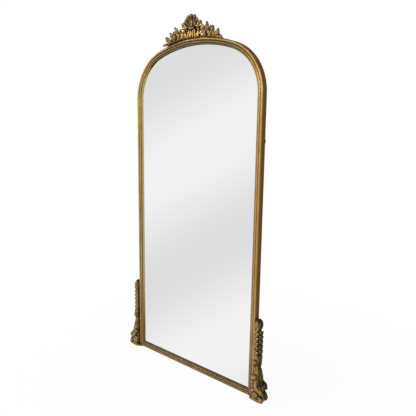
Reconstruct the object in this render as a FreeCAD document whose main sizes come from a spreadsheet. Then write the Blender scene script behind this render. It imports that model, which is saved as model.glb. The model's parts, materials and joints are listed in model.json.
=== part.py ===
import FreeCAD, Part
import math
import os
import Sketcher
from FreeCAD import Placement, Rotation, Vector

# Arched gilt floor mirror: a moulded frame with a three-centred head, a carved crest and two carved
# bracket feet. The front faces -Y, the floor is z = 0 and x = 0 is the middle of the frame.
# Depths in the sheet are measured back from the foremost line of the moulding.

SIZES = {
    # frame outline, to the outside of the moulding or to its sight edge
    "frame_width": 860.0,
    "springing_height": 1510.0,
    "sight_shoulder_radius": 226.0,
    "sight_crown_radius": 756.0,
    "moulding_width": 34.0,
    "frame_depth": 34.0,
    # front of the moulding, from the sight edge outwards: lip, quirk, bead, quirk, torus
    "sight_depth": 14.0,
    "lip_width": 7.0,
    "lip_rise": 1.9,
    "lip_crest_depth": 6.5,
    "bead_width": 10.0,
    "bead_rise": 3.6,
    "bead_crest_depth": 2.5,
    "torus_rise": 5.4,
    "quirk_width": 1.5,
    "inner_quirk_depth": 10.5,
    "outer_quirk_depth": 9.5,
    "rail_setback": 1.5,
    # rebates and what they hold
    "glass_rebate_width": 8.0,
    "panel_rebate_width": 10.0,
    "glass_thickness": 4.0,
    "glass_gap": 2.0,
    "cushion_thickness": 2.0,
    "panel_thickness": 4.0,
    "panel_gap": 1.0,
    "block_length": 60.0,
    # wood screws with countersunk heads
    "screw_head_radius": 3.4,
    "screw_head_height": 1.9,
    "screw_shank_radius": 1.6,
    "panel_screw_length": 14.0,
    "plate_screw_length": 12.0,
    "panel_screw_pitch": 230.0,
    # flat steel plates across the joints of the frame
    "plate_length": 60.0,
    "plate_width": 11.0,
    "plate_thickness": 1.6,
    "corner_leg": 66.0,
    # crest
    "crest_half_width": 200.0,
    "crest_height": 110.0,
    "crest_front_depth": -5.0,
    "crest_ground_thickness": 9.0,
    "crest_base_rise": 7.0,
    "crest_base_front": -4.0,
    "crest_base_back": 22.0,
    "leaf_thickness": 9.0,
    "petal_width": 21.0,
    "petal_thickness": 9.0,
    "crest_volute_radius": 13.0,
    "crest_volute_wire": 4.6,
    "outer_volute_radius": 9.0,
    "outer_volute_wire": 3.2,
    "side_volute_radius": 10.0,
    "side_volute_wire": 3.6,
    "seat_gap": 0.3,
    "pin_radius": 3.0,
    "pin_length": 26.0,
    "crest_pin_depth": 15.0,
    # bracket feet
    "foot_height": 428.0,
    "foot_reach": 73.0,
    "foot_projection": 24.0,
    "bracket_front": 13.0,
    "husk_base_height": 252.0,
    "husk_run_height": 150.0,
    "husk_waist_reach": 25.0,
    "husk_lip_reach": 33.0,
    "husk_waist_front": 8.0,
    "husk_lip_front": 15.0,
    "husk_leaf_width": 24.0,
    "husk_leaf_thickness": 8.0,
    "corner_radius": 5.0,
    "foot_scroll_radius": 24.0,
    "foot_scroll_wire": 6.0,
    "foot_leaf_width": 30.0,
    "foot_leaf_thickness": 9.0,
    "pad_thickness": 2.0,
    "pad_width": 78.0,
    "pad_front": 2.0,
    # ring hangers on the back
    "hanger_drop": 210.0,
    "ring_wire_radius": 1.5,
    "ring_width": 15.0,
    "ring_leg": 10.0,
    "ring_bend_radius": 2.5,
    "ring_running_gap": 0.05,
    "ring_rest_angle": 6.0,
    "knuckle_wall": 1.25,
    "knuckle_width": 9.0,
    "strap_width": 10.0,
    "strap_length": 34.0,
    "strap_thickness": 1.5,
    # wall bumpers
    "bumper_radius": 5.0,
    "bumper_thickness": 3.0,
    "bumper_height": 120.0,
    "cut_overrun": 5.0,
}

HUSK_COUNT = 6
UP, RIGHT, BACK = Vector(0, 0, 1), Vector(1, 0, 0), Vector(0, 1, 0)

doc = FreeCAD.newDocument("ArchedFloorMirror")
sheet = doc.addObject("Spreadsheet::Sheet", "Sizes")
for row, (alias, number) in enumerate(SIZES.items(), start=1):
    sheet.set(f"A{row}", alias)
    sheet.set(f"B{row}", str(number))
    sheet.setAlias(f"B{row}", alias)
doc.recompute()

subparts = []


class Dim:
    """A size: its value and the sheet expression that gives it."""

    def __init__(self, value, text):
        self.value = value
        self.text = text

    def __add__(self, other):
        other = as_dim(other)
        return Dim(self.value + other.value, f"({self.text} + {other.text})")

    def __sub__(self, other):
        other = as_dim(other)
        return Dim(self.value - other.value, f"({self.text} - {other.text})")

    def __mul__(self, other):
        other = as_dim(other)
        return Dim(self.value * other.value, f"({self.text} * {other.text})")

    def __truediv__(self, other):
        other = as_dim(other)
        return Dim(self.value / other.value, f"({self.text} / {other.text})")

    def __neg__(self):
        return Dim(-self.value, f"(-1 * {self.text})")

    def root(self):
        return Dim(math.sqrt(self.value), f"sqrt({self.text})")

    def arcsine(self):
        return Dim(math.degrees(math.asin(self.value)), f"(asin({self.text}) / 1 deg)")

    def sine(self):
        return Dim(math.sin(math.radians(self.value)), f"sin({self.text})")


def as_dim(number):
    return number if isinstance(number, Dim) else Dim(number, repr(number))


def size(alias):
    return Dim(float(getattr(sheet, alias)), f"Sizes.{alias}")


def value(alias):
    return size(alias).value


def bind(thing, prop, dim):
    thing.setExpression(prop, dim.text)


# Sizes that follow from the sheet
sight_half = size("frame_width") / 2 - size("moulding_width")
outer_half = size("frame_width") / 2
frame_foot = size("pad_thickness")
sight_bottom = frame_foot + size("moulding_width")
springing = size("springing_height")
shoulder_radius = size("sight_shoulder_radius")
crown_radius = size("sight_crown_radius")
shoulder_centre = sight_half - shoulder_radius
centre_distance = crown_radius - shoulder_radius
crown_drop = (centre_distance * centre_distance - shoulder_centre * shoulder_centre).root()
crown_centre = springing - crown_drop
crown_half_angle = (shoulder_centre / centre_distance).arcsine()
panel_seat = size("sight_depth") + size("glass_thickness") + size("cushion_thickness")
rebate_width = size("glass_rebate_width") + size("panel_rebate_width")
land_middle = (rebate_width + size("moulding_width")) / 2
pivot_depth = (size("frame_depth") + size("ring_wire_radius") + size("ring_running_gap")
               + size("knuckle_wall"))
ring_length = size("ring_leg") + size("ring_width") / 2
hanger_back = pivot_depth + ring_length * size("ring_rest_angle").sine() + size("ring_wire_radius")
hanger_height = springing - size("hanger_drop")
# The part is centred front to back between the feet's scrolls and the hanging rings
depth_shift = (size("foot_projection") - hanger_back) / 2
arch_radius = (crown_radius + size("moulding_width")).value
# The tips of the crest's leaves come forward by a share of its height
TIP_LEAN_SHARE = 1 / 11
tip_lean = value("crest_height") * TIP_LEAN_SHARE


def keep(thing, label):
    """Names a finished sub-part and lists it for export."""
    thing.Label = label
    subparts.append(thing)
    return thing


def seat(thing, x=None, z=None):
    """Sets a sub-part's place: the common shift in depth, and its own place across and up."""
    bind(thing, "Placement.Base.y", depth_shift)
    if x is not None:
        bind(thing, "Placement.Base.x", x)
    if z is not None:
        bind(thing, "Placement.Base.z", z)


def add_body(name):
    return doc.addObject("PartDesign::Body", name)


def add_sketch(body, name, role):
    """Adds a sketch on one of the body's own origin planes."""
    sketch = body.newObject("Sketcher::SketchObject", name)
    plane = next(item for item in body.Origin.OriginFeatures if item.Role == role)
    sketch.AttachmentSupport = [(plane, "")]
    sketch.MapMode = "FlatFace"
    return sketch


def arc_between(start, finish, radius, side):
    """The minor arc from start to finish that bulges to the left (side 1) or right (side -1)."""
    chord = finish - start
    middle = (start + finish) / 2
    left = Vector(-chord.y, chord.x, 0).normalize()
    reach = math.sqrt(max(radius ** 2 - (chord.Length / 2) ** 2, 0))
    centre = middle - left * (side * reach)
    first, last = (finish, start) if side > 0 else (start, finish)
    angles = [math.atan2(point.y - centre.y, point.x - centre.x) for point in (first, last)]
    if angles[1] < angles[0]:
        angles[1] += 2 * math.pi
    return Part.ArcOfCircle(Part.Circle(centre, UP, radius), *angles)


def bind_corner(sketch, geometry, end, coordinates):
    """Holds one end of an edge at its two coordinates."""
    for kind, axis, dim in zip(("DistanceX", "DistanceY"), (-2, -1), coordinates):
        if dim.value == 0:
            sketch.addConstraint(Sketcher.Constraint("PointOnObject", geometry, end, axis))
        else:
            index = sketch.addConstraint(Sketcher.Constraint(kind, -1, 1, geometry, end, dim.value))
            sketch.setExpression(f"Constraints[{index}]", dim.text)


def draw_outline(sketch, corners):
    """Draws a closed outline with every corner and radius held by the sheet.

    A corner is (x, y, arc). Its arc is None where a straight edge leaves it, or (radius, side).
    """
    edges = []
    for index, (x, y, arc) in enumerate(corners):
        next_x, next_y, _ = corners[(index + 1) % len(corners)]
        start = Vector(x.value, y.value, 0)
        finish = Vector(next_x.value, next_y.value, 0)
        if arc is None:
            edges.append((sketch.addGeometry(Part.LineSegment(start, finish), False), 1, 2))
        else:
            radius, side = arc
            geometry = sketch.addGeometry(arc_between(start, finish, radius.value, side), False)
            edges.append((geometry, 2, 1) if side > 0 else (geometry, 1, 2))
    for index, (geometry, _, end) in enumerate(edges):
        following, following_start, _ = edges[(index + 1) % len(edges)]
        sketch.addConstraint(
            Sketcher.Constraint("Coincident", geometry, end, following, following_start))
    for (geometry, start, _), (x, y, arc) in zip(edges, corners):
        bind_corner(sketch, geometry, start, (x, y))
        if arc is not None:
            index = sketch.addConstraint(Sketcher.Constraint("Radius", geometry, arc[0].value))
            sketch.setExpression(f"Constraints[{index}]", arc[0].text)


def radius_of(width, rise):
    """Radius of the arc that spans a width and rises this far from its chord."""
    return (width * width / 4 + rise * rise) / (rise * 2)


def moulding_corners(place, setback, side):
    """Section of the moulding, from the sight edge outwards along its front and back along its rear.

    Args are a function from (distance from sight edge, depth) to sketch coordinates, the setback of
    the carved front, and the side that its ridges bulge to.
    """
    lip_end = size("lip_width")
    bead_start = lip_end + size("quirk_width")
    bead_end = bead_start + size("bead_width")
    torus_start = bead_end + size("quirk_width")
    edge = size("moulding_width")
    lip_foot = size("lip_crest_depth") + size("lip_rise") + setback
    bead_foot = size("bead_crest_depth") + size("bead_rise") + setback
    torus_foot = size("torus_rise") + setback
    lip_arc = (radius_of(lip_end, size("lip_rise")), side)
    bead_arc = (radius_of(size("bead_width"), size("bead_rise")), side)
    torus_arc = (radius_of(edge - torus_start, size("torus_rise")), side)
    zero = as_dim(0)
    inner_quirk = size("inner_quirk_depth") + setback
    outer_quirk = size("outer_quirk_depth") + setback
    stations = [
        (zero, size("sight_depth"), None),
        (zero, lip_foot, lip_arc),
        (lip_end, lip_foot, None),
        (lip_end, inner_quirk, None),
        (bead_start, inner_quirk, None),
        (bead_start, bead_foot, bead_arc),
        (bead_end, bead_foot, None),
        (bead_end, outer_quirk, None),
        (torus_start, outer_quirk, None),
        (torus_start, torus_foot, torus_arc),
        (edge, torus_foot, None),
        (edge, size("frame_depth"), None),
        (rebate_width, size("frame_depth"), None),
        (rebate_width, panel_seat, None),
        (size("glass_rebate_width"), panel_seat, None),
        (size("glass_rebate_width"), size("sight_depth"), None),
    ]
    return [(*place(out, depth), arc) for out, depth, arc in stations]


def add_moulding_sketch(body, name, role, place, setback=None, side=-1):
    sketch = add_sketch(body, name, role)
    draw_outline(sketch, moulding_corners(place, setback or as_dim(0), side))
    return sketch


def mirrored(source, label):
    """The left-hand twin of a right-hand sub-part."""
    twin = doc.addObject("Part::Mirroring", label)
    twin.Source = source
    twin.Base = Vector(0, 0, 0)
    twin.Normal = RIGHT
    return keep(twin, label)


def add_stile():
    """Upright moulding, from the floor pad to the springing of the arch."""
    body = add_body("right_stile")
    sketch = add_moulding_sketch(body, "StileSection", "XY_Plane",
                                 lambda out, depth: (sight_half + out, depth))
    pad = body.newObject("PartDesign::Pad", "StileLength")
    pad.Profile = sketch
    bind(pad, "Length", springing - frame_foot)
    seat(body, z=frame_foot)
    return keep(body, "right_stile")


def add_shoulder():
    """Moulding turned about the shoulder's centre."""
    body = add_body("right_shoulder")
    sketch = add_moulding_sketch(body, "ShoulderSection", "XY_Plane",
                                 lambda out, depth: (shoulder_radius + out, depth))
    turn = body.newObject("PartDesign::Revolution", "ShoulderTurn")
    turn.Profile = sketch
    turn.ReferenceAxis = (sketch, ["V_Axis"])
    turn.Reversed = True
    bind(turn, "Angle", as_dim(90) - crown_half_angle)
    seat(body, x=shoulder_centre, z=springing)
    return keep(body, "right_shoulder")


def add_crown():
    """Moulding turned about the crown's centre, the same to both sides of the middle."""
    body = add_body("crown_rail")
    sketch = add_moulding_sketch(body, "CrownSection", "XY_Plane",
                                 lambda out, depth: (crown_radius + out, depth))
    turn = body.newObject("PartDesign::Revolution", "CrownTurn")
    turn.Profile = sketch
    turn.ReferenceAxis = (sketch, ["V_Axis"])
    turn.Midplane = True
    bind(turn, "Angle", crown_half_angle * 2)
    body.Placement = Placement(Vector(0, 0, 0), Rotation(BACK, -90))
    seat(body, z=crown_centre)
    return keep(body, "crown_rail")


def add_rail(stiles):
    """Bottom moulding, set back a little and coped over the stiles' section."""
    body = add_body("RailStock")
    sketch = add_moulding_sketch(body, "RailSection", "YZ_Plane",
                                 lambda out, depth: (depth, sight_bottom - out),
                                 size("rail_setback"), side=1)
    pad = body.newObject("PartDesign::Pad", "RailLength")
    pad.Profile = sketch
    pad.Midplane = True
    torus_middle = (size("lip_width") + size("bead_width") + size("quirk_width") * 2
                    + size("moulding_width")) / 2
    bind(pad, "Length", (sight_half + torus_middle) * 2)
    seat(body)
    doc.recompute()
    coped = body.Shape
    for stile in stiles:
        coped = coped.cut(stile.Shape)
    # The cope leaves slivers of stock in the stiles' quirks, which the joiner clears away
    rail = doc.addObject("Part::Feature", "bottom_rail")
    rail.Shape = max(coped.Solids, key=lambda solid: solid.Volume)
    return keep(rail, "bottom_rail")


def arch_corners(grow, foot):
    """Outline of a sheet that stands outside the sight line by the same margin all round."""
    half = sight_half + grow
    outer_crown = crown_radius + grow
    outer_shoulder = shoulder_radius + grow
    tangent_x = outer_crown * shoulder_centre / centre_distance
    tangent_z = crown_centre + outer_crown * crown_drop / centre_distance
    return [
        (-half, foot, None),
        (half, foot, None),
        (half, springing, (outer_shoulder, -1)),
        (tangent_x, tangent_z, (outer_crown, -1)),
        (-tangent_x, tangent_z, (outer_shoulder, -1)),
        (-half, springing, None),
    ]


def add_arch_sheet(label, grow, front, thickness):
    """Flat arched sheet that lies in the frame's rebates."""
    body = add_body(label)
    sketch = add_sketch(body, f"{label}_outline", "XZ_Plane")
    draw_outline(sketch, arch_corners(grow, sight_bottom - grow))
    pad = body.newObject("PartDesign::Pad", f"{label}_thickness")
    pad.Profile = sketch
    pad.Reversed = True
    bind(pad, "Length", thickness)
    bind(body, "Placement.Base.y", depth_shift + front)
    return body


def add_shape(name, shape):
    """A sub-part whose shape is worked out from the sheet's sizes."""
    thing = doc.addObject("Part::Feature", name)
    thing.Shape = shape
    thing.Placement = Placement(Vector(0, depth_shift.value, 0), Rotation())
    return thing


def screw(point, direction, length):
    """Countersunk wood screw: point is the middle of its head's face, direction the way it goes in."""
    head = value("screw_head_radius")
    head_height = value("screw_head_height")
    shank = value("screw_shank_radius")
    profile = [Vector(0, 0, 0), Vector(head, 0, 0), Vector(shank, 0, head_height),
               Vector(shank, 0, length - shank * 2), Vector(0, 0, length), Vector(0, 0, 0)]
    solid = Part.Face(Part.makePolygon(profile)).revolve(Vector(0, 0, 0), UP, 360)
    solid.Placement = Placement(point, Rotation(UP, direction))
    return solid


def arch_points(grow, pitch):
    """Points spaced about evenly round the frame at one distance outside the sight line."""
    half = sight_half.value + grow
    foot = sight_bottom.value - grow
    turn = 90 - crown_half_angle.value
    points = []

    def along(count, place):
        points.extend(place((step + 0.5) / count) for step in range(count))

    rise = springing.value - foot
    steps = max(round(rise / pitch), 1)
    along(steps, lambda share: (half, foot + rise * share))
    along(steps, lambda share: (-half, foot + rise * share))
    radius = shoulder_radius.value + grow
    steps = max(round(radius * math.radians(turn) / pitch), 1)
    for side in (1, -1):
        along(steps, lambda share: (
            side * (shoulder_centre.value + radius * math.cos(math.radians(turn * share))),
            springing.value + radius * math.sin(math.radians(turn * share))))
    radius = crown_radius.value + grow
    steps = max(round(2 * radius * math.radians(crown_half_angle.value) / pitch), 1)
    along(steps, lambda share: (
        radius * math.sin(math.radians(crown_half_angle.value * (2 * share - 1))),
        crown_centre.value + radius * math.cos(math.radians(crown_half_angle.value * (2 * share - 1)))))
    steps = max(round(2 * half / pitch), 1)
    along(steps, lambda share: (half * (2 * share - 1), foot))
    return points


def add_filling():
    """Glass, cushion sheet and back panel, with the blocks under the glass and the panel's screws."""
    glass_grow = size("glass_rebate_width") - size("glass_gap")
    keep(add_arch_sheet("mirror_glass", glass_grow, size("sight_depth"), size("glass_thickness")),
         "mirror_glass")
    keep(add_arch_sheet("cushion_sheet", glass_grow, size("sight_depth") + size("glass_thickness"),
                        size("cushion_thickness")), "cushion_sheet")
    panel = add_arch_sheet("PanelBlank", rebate_width - size("panel_gap"), panel_seat,
                           size("panel_thickness"))
    panel_back = (panel_seat + size("panel_thickness")).value
    grow = (size("glass_rebate_width") + size("panel_rebate_width") / 2).value
    screws = [screw(Vector(x, panel_back, z), -BACK, value("panel_screw_length"))
              for x, z in arch_points(grow, value("panel_screw_pitch"))]
    screw_set = keep(add_shape("back_panel_screws", Part.makeCompound(screws)), "back_panel_screws")
    drilled = doc.addObject("Part::Cut", "back_panel")
    drilled.Base = panel
    drilled.Tool = screw_set
    keep(drilled, "back_panel")
    blocks = []
    block_place_share = 5 / 11
    for side in (1, -1):
        middle = side * sight_half.value * block_place_share
        corner = Vector(middle - value("block_length") / 2, value("sight_depth"),
                        (sight_bottom - size("glass_rebate_width")).value)
        blocks.append(Part.makeBox(value("block_length"), value("glass_thickness"), value("glass_gap"),
                                   corner))
    keep(add_shape("setting_blocks", Part.makeCompound(blocks)), "setting_blocks")


def plate_on_back(outline, places):
    """Flat plate on the frame's back, drilled for its screws, and the screws themselves."""
    thickness = value("plate_thickness")
    plate = Part.Face(Part.makePolygon([*outline, outline[0]])).extrude(BACK * thickness)
    screws = [screw(place + BACK * thickness, -BACK, value("plate_screw_length")) for place in places]
    return plate.cut(Part.makeCompound(screws)), screws


def straight_plate(x, z, lean):
    """Plate across a joint of the arch. lean turns it from upright, in degrees."""
    middle = Vector(x, value("frame_depth"), z)
    along = Vector(-math.sin(math.radians(lean)), 0, math.cos(math.radians(lean)))
    across = Vector(along.z, 0, -along.x)
    end = along * (value("plate_length") / 2)
    edge = across * (value("plate_width") / 2)
    outline = [middle - end - edge, middle - end + edge, middle + end + edge, middle + end - edge]
    hole_share = 0.6
    return plate_on_back(outline, [middle - end * hole_share, middle + end * hole_share])


def corner_plate(side):
    """Angle plate across the joint of a stile and the bottom rail."""
    half_width = value("plate_width") / 2
    leg = value("corner_leg")
    x = side * (sight_half + land_middle).value
    z = (sight_bottom - land_middle).value
    depth = value("frame_depth")
    inward = -side
    steps = [(-half_width, -half_width), (leg, -half_width), (leg, half_width),
             (half_width, half_width), (half_width, leg), (-half_width, leg)]
    outline = [Vector(x + inward * along, depth, z + up) for along, up in steps]
    hole_shares = (0.35, 0.8)
    places = [Vector(x + inward * leg * share, depth, z) for share in hole_shares]
    places += [Vector(x, depth, z + leg * share) for share in hole_shares]
    return plate_on_back(outline, places)


def add_plates():
    """Steel plates that hold the six joints of the frame together behind."""
    out = land_middle.value
    crown_reach = crown_radius.value + out
    lean = crown_half_angle.value
    joint_sets, corner_sets = [], []
    for side in (1, -1):
        joint_sets.append(straight_plate(side * (sight_half.value + out), springing.value, 0))
        joint_sets.append(straight_plate(
            side * crown_reach * math.sin(math.radians(lean)),
            crown_centre.value + crown_reach * math.cos(math.radians(lean)),
            side * (90 - lean)))
        corner_sets.append(corner_plate(side))
    for label, sets in (("joint_plates", joint_sets), ("corner_plates", corner_sets)):
        keep(add_shape(label, Part.makeCompound([plate for plate, _ in sets])), label)
    screws = [item for _, items in joint_sets + corner_sets for item in items]
    keep(add_shape("plate_screws", Part.makeCompound(screws)), "plate_screws")


def bezier(root, bend, tip, share):
    rest = 1 - share
    return root * (rest * rest) + bend * (2 * rest * share) + tip * (share * share)


def bezier_heading(root, bend, tip, share):
    return ((bend - root) * (1 - share) + (tip - bend) * share).normalize()


LEAF_STATION_SHARES = (0.0, 0.25, 0.5, 0.75, 0.92, 1.0)
POINTED_WIDTH_SHARES = (0.5, 0.88, 1.0, 0.78, 0.4, 0.08)
PETAL_WIDTH_SHARES = (0.3, 0.5, 0.8, 1.0, 0.74, 0.3)
BROAD_WIDTH_SHARES = (1.0, 0.95, 0.85, 0.7, 0.55, 0.45)


def leaf(root, tip, width, thickness, bow, curl, width_shares, face):
    """Carved leaf: sections with a rounded back and a crowned face that rises to a midrib.

    bow is a share of the leaf's length, and curl is how far the tip comes forward.
    """
    chord = tip - root
    aside = chord.cross(face).normalize()
    bend = (root + tip) / 2 + aside * (bow * chord.Length)
    tip = tip + face * curl
    crown_share, belly_share, least_share, swell_share = 0.62, 0.38, 0.45, 0.64
    sections = []
    for station, width_share in zip(LEAF_STATION_SHARES, width_shares):
        middle = bezier(root, bend, tip, station)
        across = bezier_heading(root, bend, tip, station).cross(face).normalize()
        edge = across * (width * width_share / 2)
        depth = thickness * (least_share + (1 - least_share) * width_share)
        rib = middle + face * (depth * crown_share)
        swell = face * (depth * crown_share * swell_share)
        arcs = [Part.Arc(middle - edge, middle - edge / 2 + swell, rib),
                Part.Arc(rib, middle + edge / 2 + swell, middle + edge),
                Part.Arc(middle + edge, middle - face * (depth * belly_share), middle - edge)]
        sections.append(Part.Wire([arc.toShape() for arc in arcs]))
    return Part.makeLoft(sections, True, False)


VOLUTE_RADIUS_SHARES = (1.0, 0.66, 0.4)
VOLUTE_TAPER_SHARE = 0.52


def volute(centre, radius, wire_radius, start_angle, turn, lead=None):
    """Scroll in an upright plane: half turns of falling radius, with a ball in its eye.

    start_angle is in degrees from +X towards +Z, turn is 1 for anticlockwise seen from the front
    and -1 for clockwise, and lead is an optional curve that comes before the first half turn.
    """
    def arm(angle):
        return Vector(math.cos(math.radians(angle)), 0, math.sin(math.radians(angle)))

    edges = [lead.toShape()] if lead else []
    middle, angle = centre, start_angle
    for index, share in enumerate(VOLUTE_RADIUS_SHARES):
        reach = radius * share
        if index:
            middle = end + arm(angle + 180) * reach
        start = middle + arm(angle) * reach
        end = middle + arm(angle + turn * 180) * reach
        edges.append(Part.Arc(start, middle + arm(angle + turn * 90) * reach, end).toShape())
        angle += turn * 180
    rings = []
    first, last = edges[0], edges[-1]
    for edge, where, share in ((first, first.FirstParameter, 1),
                               (last, last.LastParameter, VOLUTE_TAPER_SHARE)):
        ring = Part.Circle(edge.valueAt(where), edge.tangentAt(where), wire_radius * share)
        rings.append(Part.Wire(ring.toShape()))
    eye_share = 0.75
    reach = wire_radius * eye_share
    eye = Part.makeCylinder(reach, reach * 2, end - BACK * reach, BACK)
    return Part.Wire(edges).makePipeShell(rings, True, False).fuse(eye)


def fused(solids):
    """One solid from overlapping ones, joined one after the other."""
    whole = solids[0]
    for solid in solids[1:]:
        whole = whole.fuse(solid)
    return whole


def arch_height(x):
    """Height of the arch's outer edge at a distance from the middle."""
    return crown_centre.value + math.sqrt(arch_radius ** 2 - x ** 2)


def crest_point(across_share, up_share):
    """Point of the crest, from shares of its half width and of its height above the arch."""
    x = across_share * value("crest_half_width")
    return Vector(x, value("crest_front_depth"), arch_height(x) + up_share * value("crest_height"))


def crest_base(start_share, end_share):
    """Curved fillet that the carving stands on, along the arch between two shares of the half width."""
    inner = arch_radius + value("seat_gap")
    angles = [math.asin(share * value("crest_half_width") / inner) for share in (start_share, end_share)]
    front, back = value("crest_base_front"), value("crest_base_back")
    centre = Vector(0, front, crown_centre.value)
    outer = inner + value("crest_base_rise")

    def on(radius, angle):
        return centre + Vector(math.sin(angle), 0, math.cos(angle)) * radius

    middle = sum(angles) / 2
    edges = [Part.Arc(on(inner, angles[0]), on(inner, middle), on(inner, angles[1])).toShape(),
             Part.makeLine(on(inner, angles[1]), on(outer, angles[1])),
             Part.Arc(on(outer, angles[1]), on(outer, middle), on(outer, angles[0])).toShape(),
             Part.makeLine(on(outer, angles[0]), on(inner, angles[0]))]
    return Part.Face(Part.Wire(edges)).extrude(BACK * (back - front))


def arch_envelope():
    """Room that the crest leaves for the arch: everything inside its outer edge."""
    depth = value("frame_depth") + value("foot_projection") + value("cut_overrun") * 2
    start = Vector(0, -value("foot_projection") - value("cut_overrun"), crown_centre.value)
    return Part.makeCylinder(arch_radius + value("seat_gap"), depth, start, BACK)


# Petals from the middle outwards: angle from upright in degrees, then length as a share of crest height
PETAL_ANGLES = (0, 24, 48, 72)
PETAL_LENGTH_SHARES = (0.6, 0.56, 0.5, 0.43)
PALMETTE_BASE_SHARE = 0.26
BOSS_UP_SHARE = 0.4
# Right half of the edge of the palmette's ground, from its top down to the arch
PALMETTE_GROUND_SHARES = ((0.0, 0.86), (0.1, 0.82), (0.19, 0.7), (0.29, 0.58), (0.37, 0.46), (0.38, 0.36),
                          (0.32, 0.28), (0.262, 0.16), (0.255, 0.02))
# Reeds of the stem: foot and top as shares of the half width
STEM_REED_SHARES = ((-0.125, -0.06), (-0.045, -0.022), (0.045, 0.022), (0.125, 0.06))
# Scrolls beside the petals: eye (across, up), foot (across, up)
INNER_SCROLL_SHARES = ((0.285, 0.5), (0.212, 0.03))
OUTER_SCROLL_SHARES = ((0.365, 0.4), (0.245, 0.14))
# Leaf under the outer scroll: root and tip (across, up), width as a share of crest height, bow of its length
PALMETTE_LEAF_SHARES = ((0.27, 0.2), (0.43, 0.37), 0.17, 0.1)
# Leaves of a spray: root and tip (across, up), width as a share of crest height, bow as a share of length,
# lift from the ground as a share of the leaf's thickness
SPRAY_LEAF_SHARES = (
    ((0.4, 0.03), (0.54, 0.61), 0.27, 0.08, 0.25),
    ((0.47, 0.04), (0.635, 0.5), 0.2, 0.1, 0.0),
    ((0.55, 0.04), (0.725, 0.46), 0.26, 0.14, 0.25),
    ((0.7, 0.04), (0.885, 0.36), 0.26, 0.16, 0.25),
    ((0.8, 0.06), (0.995, 0.1), 0.21, 0.12, 0.25),
    ((0.33, 0.05), (0.41, 0.36), 0.22, -0.12, 0.0),
    ((0.49, 0.05), (0.43, 0.28), 0.19, -0.2, 0.6),
    ((0.64, 0.05), (0.57, 0.24), 0.18, -0.2, 0.6),
    ((0.655, 0.05), (0.79, 0.22), 0.18, 0.12, 0.6),
)
SPRAY_BASE_SHARES = (0.262, 0.93)
SPRAY_CURL_SHARES = (0.335, 0.13)
# Top edge of the ground that a spray's leaves are carved on
SPRAY_GROUND_SHARES = ((0.264, 0.27), (0.4, 0.31), (0.52, 0.42), (0.64, 0.36), (0.76, 0.28), (0.88, 0.17),
                       (0.95, 0.03))
CREST_PIN_SHARES = (-0.5, -0.15, 0.15, 0.5)


def crest_ground(edge_shares):
    """Ground behind the carving, from the arch up to a smooth edge through points (across, up)."""
    top = [crest_point(*shares) for shares in edge_shares]
    edge = Part.BSplineCurve()
    edge.interpolate(top)
    foot = [crest_point(shares[0], 0) for shares in (edge_shares[-1], edge_shares[0])]
    outline = Part.Wire([edge.toShape(), Part.makeLine(top[-1], foot[0]), Part.makeLine(*foot),
                         Part.makeLine(foot[1], top[0])])
    return Part.Face(outline).extrude(BACK * value("crest_ground_thickness"))


def palmette():
    """Middle of the crest: reeded stem, petals with curled tips, two scrolls and a leaf on each side."""
    boss = crest_point(0, BOSS_UP_SHARE)
    face = -BACK
    height = value("crest_height")
    leaf_thickness = value("leaf_thickness")
    stem_width_share, stem_thickness_share, boss_share = 0.5, 1.5, 0.09
    reed_width_share, reed_thickness_share, reed_foot_share = 0.13, 2.3, 0.02
    left_edge = [(-across, up) for across, up in reversed(PALMETTE_GROUND_SHARES[1:])]
    solids = [
        crest_base(-PALMETTE_BASE_SHARE, PALMETTE_BASE_SHARE),
        crest_ground((*left_edge, *PALMETTE_GROUND_SHARES)),
        leaf(crest_point(0, reed_foot_share), boss, height * stem_width_share,
             leaf_thickness * stem_thickness_share, 0, 0, BROAD_WIDTH_SHARES, face),
    ]
    for foot_share, top_share in STEM_REED_SHARES:
        solids.append(leaf(crest_point(foot_share, reed_foot_share), crest_point(top_share, BOSS_UP_SHARE),
                           height * reed_width_share, leaf_thickness * reed_thickness_share, 0, 0,
                           BROAD_WIDTH_SHARES, face))
    for angle, length_share in zip(PETAL_ANGLES, PETAL_LENGTH_SHARES):
        for side in ((1, -1) if angle else (1,)):
            heading = Vector(side * math.sin(math.radians(angle)), 0, math.cos(math.radians(angle)))
            bow_share = -0.06 * side if angle else 0
            solids.append(leaf(boss, boss + heading * (height * length_share), value("petal_width"),
                               value("petal_thickness"), bow_share, tip_lean,
                               PETAL_WIDTH_SHARES, face))
    solids.append(Part.makeCone(height * boss_share, height * boss_share / 2, tip_lean, boss, face))
    root, tip, width_share, bow = PALMETTE_LEAF_SHARES
    for side in (1, -1):
        ends = [crest_point(across * side, up) for across, up in (root, tip)]
        solids.append(leaf(*ends, height * width_share, leaf_thickness, bow * side, tip_lean,
                           POINTED_WIDTH_SHARES, face))
        solids.append(side_scroll(side, *OUTER_SCROLL_SHARES, value("outer_volute_radius"),
                                  value("outer_volute_wire")))
        solids.append(side_scroll(side, *INNER_SCROLL_SHARES, value("crest_volute_radius"),
                                  value("crest_volute_wire")))
    return fused(solids)


def side_scroll(side, eye_shares, foot_shares, radius, wire_radius):
    """Scroll that rises from its foot near the crest's base and curls outwards beside the petals."""
    eye = crest_point(eye_shares[0] * side, eye_shares[1])
    start = eye - Vector(side * radius, 0, 0)
    foot = crest_point(foot_shares[0] * side, foot_shares[1])
    rise = start.z - foot.z
    run = side * (start.x - foot.x)
    lead_radius = (run * run + rise * rise) / (2 * run)
    centre = start - Vector(side * lead_radius, 0, 0)
    half_turn = math.asin(rise / lead_radius) / 2
    middle = centre + Vector(side * math.cos(half_turn), 0, -math.sin(half_turn)) * lead_radius
    lead = Part.Arc(foot, middle, start)
    return volute(eye, radius, wire_radius, 180 if side > 0 else 0, -side, lead)


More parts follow.
